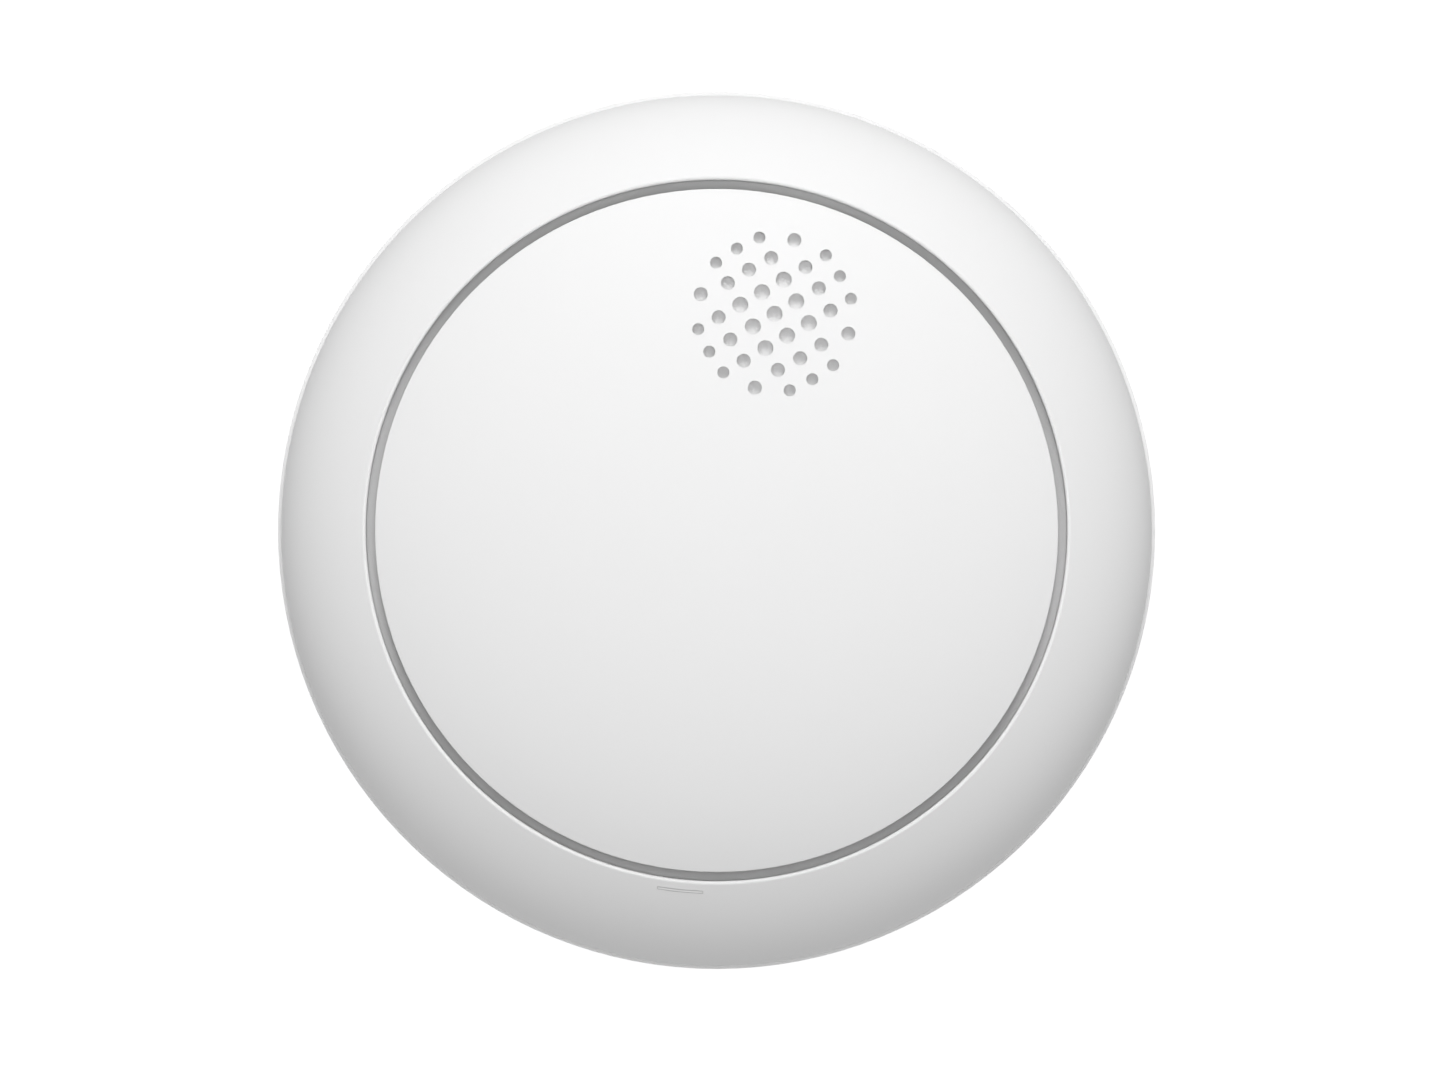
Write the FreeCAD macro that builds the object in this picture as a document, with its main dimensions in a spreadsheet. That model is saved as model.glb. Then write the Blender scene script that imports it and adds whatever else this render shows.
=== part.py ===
import FreeCAD, Part

# A round ceiling smoke detector, in millimetres and degrees.
#
# The back of the mounting plate lies on Z = 0 and the face looks along +Z, so the
# detector stands on the plate the way it would hang from a ceiling, turned over.
# The origin is on the detector's own axis.  +X is to the right of the face and
# +Y is towards its top edge.

import math
import os

import Sketcher
from FreeCAD import Placement, Rotation, Vector

SIZES = {
    # The outline of the detector.
    "outer_radius": 66,
    "total_height": 36,
    "ring_inset": 0.5,
    "shell_wall": 2,
    "shoulder_height": 9,
    "crown_flat": 1,
    "cover_radius": 51.4,
    "groove_width": 1.35,
    "edge_round": 0.1,
    "ring_edge_round": 0.4,
    # Clearances.
    "flat_gap": 0.1,
    "loose_gap": 0.3,
    "sliding_gap": 0.05,
    # The mounting plate and its twist lock.
    "plate_radius": 52,
    "plate_thickness": 2,
    "plate_rim_width": 2.5,
    "plate_rim_top": 4.8,
    "cable_opening_radius": 10,
    "slot_distance": 26,
    "slot_length": 8,
    "round_hole_distance": 25,
    "fixing_hole_radius": 2.1,
    "lock_count": 4,
    "lock_azimuth": 45,
    "lock_half_angle": 9,
    "lock_reach": 4,
    "lock_tab_bottom": 3.3,
    "lock_stop_bottom": 1.2,
    "lock_stop_angle": 2,
    "lock_stop_gap": 0.4,
    # The rear housing.
    "housing_bottom": 1,
    "housing_top": 8,
    "housing_skirt_radius": 57,
    "floor_thickness": 1.6,
    "raised_floor": 5.2,
    "low_floor": 2.6,
    "low_floor_inner": 31.5,
    "low_floor_outer": 48.5,
    # The stack of board, deck and cover.
    "board_bottom": 12,
    "board_thickness": 1.6,
    "board_radius": 50,
    "deck_top": 21.6,
    "deck_thickness": 1.6,
    "air_slot": 2.6,
    "ledge_radius": 50,
    # The four long screws.
    "screw_distance": 45,
    "screw_shank_radius": 1.2,
    "screw_head_radius": 2.3,
    "screw_head_height": 1.6,
    "screw_seat": 5,
    "screw_tip": 19,
    # The sprung cover.
    "leg_distance": 40,
    "leg_azimuth": 30,
    "leg_radius": 1.6,
    "leg_bottom": 16.2,
    "spring_radius": 2.75,
    "wire_radius": 0.25,
    "spring_seat": 27,
    "spring_turns": 4.5,
    # The sounder and the holes over it.
    "sounder_distance": 33.73,
    "sounder_azimuth": 75,
    "sounder_radius": 15,
    "sounder_top": 23.5,
    "cloth_angle": 47,
    "cloth_reach": 13.3,
    "cloth_thickness": 0.7,
    "hole_pitch": 3.771,
    "hole_grid_turn": 30,
    "large_hole_radius": 1.2,
    "medium_hole_radius": 1.05,
    "small_hole_radius": 0.9,
    # The optical chamber.
    "chamber_across": -2.33,
    "chamber_along": -8.69,
    "chamber_radius": 21,
    "chamber_top": 28.5,
    "beam_height": 17.2,
    "emitter_azimuth": 200,
    "receiver_azimuth": 340,
    # The cells.
    "cell_distance": 39.5,
    "cell_radius": 7.25,
    "cell_length": 25,
    "cell_height": 11.85,
    # The two switches.
    "test_azimuth": 300,
    "tamper_across": -18,
    "tamper_along": 36,
    # The status light.
    "light_radius": 54.5,
    "light_azimuth": 264.2,
    "light_angle": 7.15,
    "light_thickness": 0.3,
}

ORIGIN = -1
ACROSS_AXIS = -1
UPRIGHT_AXIS = -2
START = 1
END = 2
CENTRE = 3
FULL_TURN = 360
TINY = 1e-6

DOC = FreeCAD.newDocument("smoke_detector")
SUB_PARTS = []


class Size:
    """A number that remembers the sheet expression it was worked out from."""

    def __init__(self, number, text):
        self.number = float(number)
        self.text = text

    def __add__(self, other):
        other = as_size(other)
        return Size(self.number + other.number, f"({self.text} + {other.text})")

    def __sub__(self, other):
        other = as_size(other)
        return Size(self.number - other.number, f"({self.text} - {other.text})")

    def __mul__(self, other):
        other = as_size(other)
        return Size(self.number * other.number, f"({self.text} * {other.text})")

    def __truediv__(self, other):
        other = as_size(other)
        return Size(self.number / other.number, f"({self.text} / {other.text})")

    def __neg__(self):
        return Size(-self.number, f"(-1 * {self.text})")


def as_size(value):
    """Gives a plain number the same form as a size from the sheet."""
    if isinstance(value, Size):
        return value
    return Size(value, repr(float(value)))


def cosine(angle):
    return Size(math.cos(math.radians(angle.number)), f"cos({angle.text})")


def sine(angle):
    return Size(math.sin(math.radians(angle.number)), f"sin({angle.text})")


def square_root(size):
    return Size(math.sqrt(size.number), f"sqrt({size.text})")


class Dimensions:
    """The driving dimensions, one attribute for each named cell of the sheet."""


def build_sheet():
    """Writes the driving dimensions to the sheet and returns them as sizes."""
    sheet = DOC.addObject("Spreadsheet::Sheet", "dims")
    dimensions = Dimensions()
    for row, (name, value) in enumerate(SIZES.items(), start=1):
        sheet.set(f"A{row}", name)
        sheet.set(f"B{row}", str(value))
        sheet.setAlias(f"B{row}", name)
        setattr(dimensions, name, Size(value, f"dims.{name}"))
    DOC.recompute()
    return dimensions


D = build_sheet()


class Dome:
    """The quarter ellipse that one side of the curved face follows."""

    def __init__(self, inset):
        inset = as_size(inset)
        self.base = D.shoulder_height
        self.reach = D.outer_radius - D.ring_inset - inset
        self.rise = D.total_height - inset - D.shoulder_height

    def height_at(self, radius):
        fraction = as_size(radius) / self.reach
        return self.base + self.rise * square_root(as_size(1) - fraction * fraction)

    def angle_at(self, radius):
        return math.acos(min(1.0, radius.number / self.reach.number))


OUTSIDE = Dome(0)
INSIDE = Dome(D.shell_wall)

# Heights and radii that several sub-parts share.
BOARD_TOP = D.board_bottom + D.board_thickness
DECK_BOTTOM = D.deck_top - D.deck_thickness
COVER_RIM_BOTTOM = D.deck_top + D.air_slot
RING_INNER_RADIUS = D.cover_radius + D.groove_width
RING_FOOT_RADIUS = D.outer_radius - D.ring_inset
LOCK_OUTER_RADIUS = D.plate_radius + D.lock_reach
LEG_TOP = INSIDE.height_at(D.leg_distance) + 0.7
FLANGE_TOP = BOARD_TOP + 1.8
VANE_BOTTOM = FLANGE_TOP + 3.6
SOUNDER_LEDGE = D.sounder_top - 6.7
PLATE_BOTTOM = SOUNDER_LEDGE - 0.3
ACTUATOR_BOTTOM = BOARD_TOP + 4.95


# ---------------------------------------------------------------- sketches


def tie(sketch, constraint, size):
    """Adds a constraint and ties its value to the sheet."""
    index = sketch.addConstraint(constraint)
    name = f"size_{index}"
    sketch.renameConstraint(index, name)
    sketch.setExpression(f"Constraints.{name}", size.text)


def locate(sketch, geometry, end, across=None, up=None):
    """Ties one point of a line, arc or circle to its place in the sketch."""
    for kind, axis, where in (("DistanceX", UPRIGHT_AXIS, across), ("DistanceY", ACROSS_AXIS, up)):
        if where is None:
            continue
        if abs(where.number) < TINY:
            sketch.addConstraint(Sketcher.Constraint("PointOnObject", geometry, end, axis))
        else:
            constraint = Sketcher.Constraint(kind, ORIGIN, START, geometry, end, where.number)
            tie(sketch, constraint, where)


def new_sketch(body, name, plane="XY_Plane", height=0, turn=0, across=0, along=0):
    """Starts a sketch on one of the body's own planes.

    A flat sketch is raised by height, moved by across and along, and turned about
    the upright axis.  An upright sketch is only turned about the upright axis.
    """
    sketch = body.newObject("Sketcher::SketchObject", name)
    support = [item for item in body.Origin.OriginFeatures if item.Role == plane][0]
    sketch.AttachmentSupport = [(support, "")]
    sketch.MapMode = "FlatFace"
    turn_axis = Vector(0, 0, 1) if plane == "XY_Plane" else Vector(0, 1, 0)
    turn = as_size(turn)
    sketch.AttachmentOffset = Placement(Vector(), Rotation(turn_axis, turn.number))
    sketch.setExpression("AttachmentOffset.Rotation.Angle", turn.text)
    for letter, offset in (("x", across), ("y", along), ("z", height)):
        sketch.setExpression(f"AttachmentOffset.Base.{letter}", as_size(offset).text)
    return sketch


def draw_circle(sketch, across, up, radius):
    across, up, radius = as_size(across), as_size(up), as_size(radius)
    middle = Vector(across.number, up.number, 0)
    circle = sketch.addGeometry(Part.Circle(middle, Vector(0, 0, 1), radius.number), False)
    locate(sketch, circle, CENTRE, across, up)
    tie(sketch, Sketcher.Constraint("Radius", circle, radius.number), radius)


def draw_dome_arc(sketch, dome, first, last):
    """Draws the piece of a dome between two radii and returns its index."""
    middle = Vector(0, dome.base.number, 0)
    ellipse = Part.Ellipse(middle, dome.reach.number, dome.rise.number)
    angles = sorted((dome.angle_at(first), dome.angle_at(last)))
    arc = sketch.addGeometry(Part.ArcOfEllipse(ellipse, angles[0], angles[1]), False)
    sketch.exposeInternalGeometry(arc)
    major_axis = arc + 1
    minor_axis = arc + 2
    locate(sketch, arc, CENTRE, as_size(0), dome.base)
    sketch.addConstraint(Sketcher.Constraint("Horizontal", major_axis))
    for axis, length in ((major_axis, dome.reach * 2), (minor_axis, dome.rise * 2)):
        tie(sketch, Sketcher.Constraint("Distance", axis, length.number), length)
    return arc


def draw_outline(sketch, corners):
    """Draws a closed outline through the corners.

    Each corner is (across, up) or (across, up, dome); a dome means that the edge
    from this corner to the next one follows that dome instead of a straight line.
    """
    points = []
    domes = []
    for corner in corners:
        points.append((as_size(corner[0]), as_size(corner[1])))
        domes.append(corner[2] if len(corner) > 2 else None)
    edges = []
    for index, dome in enumerate(domes):
        here = points[index]
        there = points[(index + 1) % len(points)]
        if dome is None:
            start = Vector(here[0].number, here[1].number, 0)
            finish = Vector(there[0].number, there[1].number, 0)
            line = sketch.addGeometry(Part.LineSegment(start, finish), False)
            edges.append((line, START, END))
        else:
            arc = draw_dome_arc(sketch, dome, here[0], there[0])
            outward = there[0].number > here[0].number
            edges.append((arc, END, START) if outward else (arc, START, END))
    for index, (edge, start, _) in enumerate(edges):
        before, _, before_end = edges[index - 1]
        sketch.addConstraint(Sketcher.Constraint("Coincident", before, before_end, edge, start))
        across, up = points[index]
        dome = domes[index] or domes[index - 1]
        if dome is None:
            locate(sketch, edge, start, across, up)
        elif abs(across.number - dome.reach.number) < TINY:
            locate(sketch, edge, start, up=up)
        else:
            locate(sketch, edge, start, across=across)


def draw_rectangle(sketch, across, up, width, height):
    """Draws a rectangle about its middle."""
    across, up = as_size(across), as_size(up)
    half_width = as_size(width) / 2
    half_height = as_size(height) / 2
    left = across - half_width
    right = across + half_width
    bottom = up - half_height
    top = up + half_height
    draw_outline(sketch, [(left, bottom), (right, bottom), (right, top), (left, top)])


def draw_slot(sketch, across, length, radius):
    """Draws a round-ended slot along the sketch's own across axis."""
    reach = length / 2 - radius
    ends = []
    for side, begin in ((-1, 90), (1, -90)):
        middle = across + reach * side
        circle = Part.Circle(Vector(middle.number, 0, 0), Vector(0, 0, 1), radius.number)
        arc = Part.ArcOfCircle(circle, math.radians(begin), math.radians(begin + 180))
        ends.append((sketch.addGeometry(arc, False), middle))
    left, right = ends[0][0], ends[1][0]
    for up, begin, finish in ((-1, ends[0][1], ends[1][1]), (1, ends[1][1], ends[0][1])):
        start = Vector(begin.number, radius.number * up, 0)
        stop = Vector(finish.number, radius.number * up, 0)
        line = sketch.addGeometry(Part.LineSegment(start, stop), False)
        before, after = (left, right) if up < 0 else (right, left)
        sketch.addConstraint(Sketcher.Constraint("Tangent", before, END, line, START))
        sketch.addConstraint(Sketcher.Constraint("Tangent", line, END, after, START))
    for arc, middle in ends:
        locate(sketch, arc, CENTRE, middle, as_size(0))
    tie(sketch, Sketcher.Constraint("Radius", left, radius.number), radius)
    sketch.addConstraint(Sketcher.Constraint("Equal", left, right))


# ---------------------------------------------------------------- features


def new_body(name, across=0, along=0, up=0, turn=0):
    """Starts a sub-part, placed at its own spot and turned about the upright axis."""
    body = DOC.addObject("PartDesign::Body", name)
    body.Label = name
    body.AllowCompound = True
    turn = as_size(turn)
    body.Placement = Placement(Vector(), Rotation(Vector(0, 0, 1), turn.number))
    body.setExpression("Placement.Rotation.Angle", turn.text)
    for letter, offset in (("x", across), ("y", along), ("z", up)):
        body.setExpression(f"Placement.Base.{letter}", as_size(offset).text)
    SUB_PARTS.append(body)
    return body


def pad(body, name, sketch, length, both_ways=False):
    """Raises a sketch into a solid."""
    feature = body.newObject("PartDesign::Pad", name)
    feature.Profile = sketch
    feature.setExpression("Length", as_size(length).text)
    feature.Midplane = both_ways
    return feature


def cut(body, name, sketch, depth, forward=False):
    """Cuts a sketch into the body: backwards from its plane, or forward."""
    DOC.recompute()
    before = body.Shape.Volume
    feature = body.newObject("PartDesign::Pocket", name)
    feature.Profile = sketch
    feature.setExpression("Length", as_size(depth).text)
    feature.Reversed = forward
    DOC.recompute()
    if body.Shape.Volume > before - TINY:
        raise ValueError(f"{body.Label}: {name} removes nothing")
    return feature


def revolve(body, name, sketch, angle=FULL_TURN, axis="V_Axis"):
    """Turns a sketch about one of its own axes, evenly to both sides."""
    feature = body.newObject("PartDesign::Revolution", name)
    feature.Profile = sketch
    feature.ReferenceAxis = (sketch, [axis])
    feature.setExpression("Angle", as_size(angle).text)
    feature.Midplane = True
    return feature


def groove(body, name, sketch, angle=FULL_TURN, axis="V_Axis"):
    """Cuts away what a sketch sweeps when it is turned about one of its axes."""
    DOC.recompute()
    before = body.Shape.Volume
    feature = body.newObject("PartDesign::Groove", name)
    feature.Profile = sketch
    feature.ReferenceAxis = (sketch, [axis])
    feature.setExpression("Angle", as_size(angle).text)
    feature.Midplane = True
    DOC.recompute()
    if body.Shape.Volume > before - TINY:
        raise ValueError(f"{body.Label}: {name} removes nothing")
    return feature


def repeat_round(body, name, features, count):
    """Repeats features evenly round the body's upright axis."""
    pattern = body.newObject("PartDesign::PolarPattern", name)
    pattern.Originals = features
    upright = [item for item in body.Origin.OriginFeatures if item.Role == "Z_Axis"][0]
    pattern.Axis = (upright, [""])
    pattern.Angle = FULL_TURN
    pattern.setExpression("Occurrences", as_size(count).text)
    body.Tip = pattern
    return pattern


def round_edges(body, name, feature, radius, wanted):
    """Rounds the edges of a feature for which wanted(edge) is true."""
    DOC.recompute()
    edges = feature.Shape.Edges
    picked = [f"Edge{index + 1}" for index, edge in enumerate(edges) if wanted(edge)]
    fillet = body.newObject("PartDesign::Fillet", name)
    fillet.Base = (feature, picked)
    fillet.setExpression("Radius", as_size(radius).text)
    return fillet


def is_circle(edge, radius, height):
    """Tells whether an edge is the level circle of this radius and height."""
    if edge.Degenerated or not isinstance(edge.Curve, Part.Circle):
        return False
    near_height = abs(edge.Curve.Center.z - as_size(height).number) < 0.01
    near_radius = abs(edge.Curve.Radius - as_size(radius).number) < 0.01
    return near_height and near_radius


def is_upright(edge):
    """Tells whether an edge runs straight up."""
    return edge.BoundBox.ZLength > 0.1 and edge.BoundBox.XLength + edge.BoundBox.YLength < 0.01


def ring(body, name, inner, outer, bottom, top):
    """A plain ring about the body's own upright axis."""
    sketch = new_sketch(body, f"{name}_outline", height=bottom)
    draw_circle(sketch, 0, 0, outer)
    if as_size(inner).number > 0:
        draw_circle(sketch, 0, 0, inner)
    return pad(body, name, sketch, as_size(top) - bottom)


# ---------------------------------------------------------------- mounting plate


def make_mounting_plate():
    """The plate that is screwed to the ceiling, with four lugs for the twist lock."""
    body = new_body("mounting_plate")
    rim_inner = D.plate_radius - D.plate_rim_width
    section = new_sketch(body, "disc_section", "XZ_Plane")
    draw_outline(section, [
        (D.cable_opening_radius, 0),
        (D.plate_radius, 0),
        (D.plate_radius, D.plate_rim_top),
        (rim_inner, D.plate_rim_top),
        (rim_inner, D.plate_thickness),
        (D.cable_opening_radius, D.plate_thickness),
    ])
    revolve(body, "disc", section)

    root_radius = D.plate_radius - 1
    tab_start = -(D.lock_half_angle + D.lock_stop_gap + D.lock_stop_angle)
    tab_middle = D.lock_azimuth + (D.lock_half_angle + tab_start) / 2
    tab_section = new_sketch(body, "lug_section", "XZ_Plane", turn=tab_middle)
    draw_outline(tab_section, [
        (root_radius, D.lock_tab_bottom),
        (LOCK_OUTER_RADIUS, D.lock_tab_bottom),
        (LOCK_OUTER_RADIUS, D.plate_rim_top),
        (root_radius, D.plate_rim_top),
    ])
    lug = revolve(body, "lug", tab_section, D.lock_half_angle - tab_start)

    stop_middle = D.lock_azimuth + tab_start + D.lock_stop_angle / 2
    stop_section = new_sketch(body, "stop_section", "XZ_Plane", turn=stop_middle)
    draw_outline(stop_section, [
        (root_radius, D.lock_stop_bottom),
        (LOCK_OUTER_RADIUS, D.lock_stop_bottom),
        (LOCK_OUTER_RADIUS, D.plate_rim_top),
        (root_radius, D.plate_rim_top),
    ])
    stop = revolve(body, "stop", stop_section, D.lock_stop_angle)
    repeat_round(body, "lugs", [lug, stop], D.lock_count)

    slots = new_sketch(body, "slot_outlines", height=D.plate_thickness)
    for side in (-1, 1):
        draw_slot(slots, D.slot_distance * side, D.slot_length, D.fixing_hole_radius)
    cut(body, "fixing_slots", slots, D.plate_thickness)
    holes = new_sketch(body, "hole_outlines", height=D.plate_thickness)
    for side in (-1, 1):
        draw_circle(holes, 0, D.round_hole_distance * side, D.fixing_hole_radius)
    cut(body, "fixing_holes", holes, D.plate_thickness)


# ---------------------------------------------------------------- rear housing


def make_rear_housing():
    """The tray behind the face: lock ledges below, screw posts and cell saddles above."""
    body = new_body("rear_housing")
    wall = D.floor_thickness
    raised_top = D.raised_floor + wall
    low_top = D.low_floor + wall
    rim_floor_top = D.housing_bottom + 1.8
    section = new_sketch(body, "tray_section", "XZ_Plane")
    draw_outline(section, [
        (0, D.raised_floor),
        (D.low_floor_inner, D.raised_floor),
        (D.low_floor_inner, D.low_floor),
        (D.low_floor_outer, D.low_floor),
        (D.low_floor_outer, D.raised_floor),
        (D.housing_skirt_radius, D.raised_floor),
        (D.housing_skirt_radius, D.housing_bottom),
        (D.outer_radius, D.housing_bottom),
        (D.outer_radius, D.housing_top),
        (D.outer_radius - D.shell_wall, D.housing_top),
        (D.outer_radius - D.shell_wall, rim_floor_top),
        (D.housing_skirt_radius + wall, rim_floor_top),
        (D.housing_skirt_radius + wall, raised_top),
        (D.low_floor_outer - wall, raised_top),
        (D.low_floor_outer - wall, low_top),
        (D.low_floor_inner + wall, low_top),
        (D.low_floor_inner + wall, raised_top),
        (0, raised_top),
    ])
    tray = revolve(body, "tray", section)
    rounded = round_edges(
        body, "outer_edge_round", tray, D.edge_round,
        lambda edge: is_circle(edge, D.outer_radius, D.housing_top))
    body.Tip = rounded

    ledge_inner = D.plate_radius + D.loose_gap * 2
    ledge_section = new_sketch(body, "ledge_section", "XZ_Plane", turn=D.lock_azimuth)
    draw_outline(ledge_section, [
        (ledge_inner, D.lock_stop_bottom),
        (D.housing_skirt_radius + 0.5, D.lock_stop_bottom),
        (D.housing_skirt_radius + 0.5, D.lock_tab_bottom - D.flat_gap),
        (ledge_inner, D.lock_tab_bottom - D.flat_gap),
    ])
    ledge = revolve(body, "lock_ledge", ledge_section, D.lock_half_angle * 2)

    post_bottom = D.low_floor + 0.5
    post_circle = new_sketch(body, "post_outline", height=post_bottom, turn=D.lock_azimuth)
    draw_circle(post_circle, D.screw_distance, 0, D.screw_head_radius + 1)
    post = pad(body, "screw_post", post_circle, D.board_bottom - post_bottom)
    head_circle = new_sketch(body, "head_outline", height=D.screw_seat, turn=D.lock_azimuth)
    draw_circle(head_circle, D.screw_distance, 0, D.screw_head_radius + D.loose_gap)
    head_hole = cut(body, "head_recess", head_circle, D.screw_seat - D.low_floor)
    shank_circle = new_sketch(body, "shank_outline", height=D.board_bottom, turn=D.lock_azimuth)
    draw_circle(shank_circle, D.screw_distance, 0, D.screw_shank_radius + D.loose_gap)
    shank_hole = cut(body, "shank_hole", shank_circle, D.board_bottom - D.screw_seat)
    repeat_round(body, "locks_and_posts", [ledge, post, head_hole, shank_hole], D.lock_count)

    saddle_bottom = D.low_floor + 1
    saddles = new_sketch(body, "saddle_outlines", height=saddle_bottom)
    for side in (-1, 1):
        for end in (-1, 1):
            draw_rectangle(saddles, D.cell_distance * side, D.cell_length * 0.3 * end, 12.4, 2)
    pad(body, "cell_saddles", saddles, D.cell_height - D.cell_radius * 0.5 - saddle_bottom)
    for side, name in ((-1, "left"), (1, "right")):
        bed = new_sketch(body, f"{name}_bed_outline", "XZ_Plane")
        draw_circle(bed, D.cell_distance * side, D.cell_height, D.cell_radius + 0.2)
        pocket = cut(body, f"{name}_cell_bed", bed, D.cell_length * 0.8, forward=True)
        pocket.Midplane = True

    guide = new_sketch(body, "guide_outline", height=saddle_bottom)
    draw_circle(guide, D.tamper_across, D.tamper_along, 3)
    pad(body, "tamper_guide", guide, 3.6)
    guide_bore = new_sketch(body, "guide_bore_outline", height=saddle_bottom + 3.6)
    draw_circle(guide_bore, D.tamper_across, D.tamper_along, 1.25 + SIZES["sliding_gap"])
    cut(body, "tamper_guide_bore", guide_bore, 6)


# ---------------------------------------------------------------- face


def make_front_ring():
    """The curved outer ring of the face, with the ledge that the deck presses on."""
    body = new_body("front_ring")
    lip_outer = D.outer_radius - D.shell_wall - D.loose_gap
    lip_inner = lip_outer - 1.7
    lip_bottom = D.housing_top - 3
    wall_outer = RING_INNER_RADIUS + D.shell_wall
    ledge_bottom = DECK_BOTTOM - 1.6
    section = new_sketch(body, "ring_section", "XZ_Plane")
    draw_outline(section, [
        (RING_FOOT_RADIUS, D.shoulder_height, OUTSIDE),
        (RING_INNER_RADIUS, OUTSIDE.height_at(RING_INNER_RADIUS)),
        (RING_INNER_RADIUS, DECK_BOTTOM),
        (D.ledge_radius, DECK_BOTTOM),
        (D.ledge_radius, ledge_bottom),
        (wall_outer, ledge_bottom),
        (wall_outer, INSIDE.height_at(wall_outer), INSIDE),
        (lip_inner, INSIDE.height_at(lip_inner)),
        (lip_inner, lip_bottom),
        (lip_outer, lip_bottom),
        (lip_outer, D.housing_top),
        (RING_FOOT_RADIUS, D.housing_top),
    ])
    shell = revolve(body, "shell", section)
    edge_height = OUTSIDE.height_at(RING_INNER_RADIUS)
    rounded = round_edges(
        body, "groove_edge_round", shell, D.ring_edge_round,
        lambda edge: is_circle(edge, RING_INNER_RADIUS, edge_height))
    body.Tip = rounded

    slot_half = D.light_thickness / 2 + D.sliding_gap
    slot = new_sketch(body, "light_slot_section", "XZ_Plane", turn=D.light_azimuth)
    draw_outline(slot, [
        (D.light_radius - slot_half, ledge_bottom - 1),
        (D.light_radius + slot_half, ledge_bottom - 1),
        (D.light_radius + slot_half, D.total_height),
        (D.light_radius - slot_half, D.total_height),
    ])
    groove(body, "light_slot", slot, D.light_angle + 0.1)


def draw_sound_holes(sketch):
    """Draws nine large holes, sixteen medium ones round them and twelve small outermost."""
    for column in (-1, 0, 1):
        for row in (-1, 0, 1):
            across = D.hole_pitch * column
            draw_circle(sketch, across, D.hole_pitch * row, D.large_hole_radius)
    second_row = {-1: 2.0, 0: 2.04, 1: 2.0}
    third_row = {-1: 2.94, 0: 3.01, 1: 2.94}
    for rows, radius in ((second_row, D.medium_hole_radius), (third_row, D.small_hole_radius)):
        for column, reach in rows.items():
            for side in (-1, 1):
                near = D.hole_pitch * column
                far = D.hole_pitch * reach * side
                draw_circle(sketch, near, far, radius)
                draw_circle(sketch, far, near, radius)
    corner = D.hole_pitch * 2.155
    for side in (-1, 1):
        for end in (-1, 1):
            draw_circle(sketch, corner * side, corner * end, D.medium_hole_radius)


def make_cover_disc():
    """The round button-like cover: sound holes, three snap legs and the switch rod."""
    body = new_body("cover_disc")
    rim_inner = D.cover_radius - 1.8
    inside_crown = INSIDE.height_at(D.crown_flat)
    outside_crown = OUTSIDE.height_at(D.crown_flat)
    # Turned so that the seam of the curved surface lies opposite the sound holes.
    section = new_sketch(body, "cover_section", "XZ_Plane", turn=D.sounder_azimuth)
    draw_outline(section, [
        (0, inside_crown),
        (D.crown_flat, inside_crown, INSIDE),
        (rim_inner, INSIDE.height_at(rim_inner)),
        (rim_inner, COVER_RIM_BOTTOM),
        (D.cover_radius, COVER_RIM_BOTTOM),
        (D.cover_radius, OUTSIDE.height_at(D.cover_radius), OUTSIDE),
        (D.crown_flat, outside_crown),
        (0, outside_crown),
    ])
    skin = revolve(body, "skin", section)
    edge_height = OUTSIDE.height_at(D.cover_radius)
    rounded = round_edges(
        body, "groove_edge_round", skin, D.edge_round,
        lambda edge: is_circle(edge, D.cover_radius, edge_height))
    body.Tip = rounded

    shaft_circle = new_sketch(body, "leg_outline", height=D.leg_bottom, turn=D.leg_azimuth)
    draw_circle(shaft_circle, D.leg_distance, 0, D.leg_radius)
    shaft = pad(body, "leg", shaft_circle, LEG_TOP - D.leg_bottom)
    seat_circle = new_sketch(body, "spring_seat_outline", height=D.spring_seat, turn=D.leg_azimuth)
    draw_circle(seat_circle, D.leg_distance, 0, D.spring_radius + 0.75)
    seat = pad(body, "spring_seat", seat_circle, LEG_TOP - D.spring_seat)
    barb_bottom = D.leg_bottom + 0.6
    barb_circle = new_sketch(body, "barb_outline", height=barb_bottom, turn=D.leg_azimuth)
    draw_circle(barb_circle, D.leg_distance, 0, D.leg_radius + 0.7)
    barb = pad(body, "barb", barb_circle, 1.3)
    split = new_sketch(body, "split_outline", height=D.leg_bottom, turn=D.leg_azimuth)
    draw_rectangle(split, D.leg_distance, 0, D.leg_radius * 4, 0.9)
    split_cut = cut(body, "leg_split", split, 4.4, forward=True)
    repeat_round(body, "legs", [shaft, seat, barb, split_cut], 3)

    rod = new_sketch(body, "rod_outline", height=ACTUATOR_BOTTOM, turn=D.test_azimuth)
    draw_circle(rod, D.leg_distance, 0, 1.5)
    pad(body, "switch_rod", rod, LEG_TOP - ACTUATOR_BOTTOM)

    sounder_across = D.sounder_distance * cosine(D.sounder_azimuth)
    sounder_along = D.sounder_distance * sine(D.sounder_azimuth)
    holes = new_sketch(body, "sound_hole_outlines", height=D.total_height,
                       turn=D.hole_grid_turn, across=sounder_across, along=sounder_along)
    draw_sound_holes(holes)
    cut(body, "sound_holes", holes, D.total_height - D.deck_top)


def make_grille_cloth():
    """The white cloth glued to the back of the cover, behind the sound holes."""
    body = new_body("grille_cloth")
    near = D.sounder_distance - D.cloth_reach
    far = D.sounder_distance + D.cloth_reach
    front = Dome(D.shell_wall + D.sliding_gap)
    back = Dome(D.shell_wall + D.cloth_thickness)
    section = new_sketch(body, "cloth_section", "XZ_Plane", turn=D.sounder_azimuth)
    draw_outline(section, [
        (near, front.height_at(near), front),
        (far, front.height_at(far)),
        (far, back.height_at(far), back),
        (near, back.height_at(near)),
    ])
    revolve(body, "cloth", section, D.cloth_angle)


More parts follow.
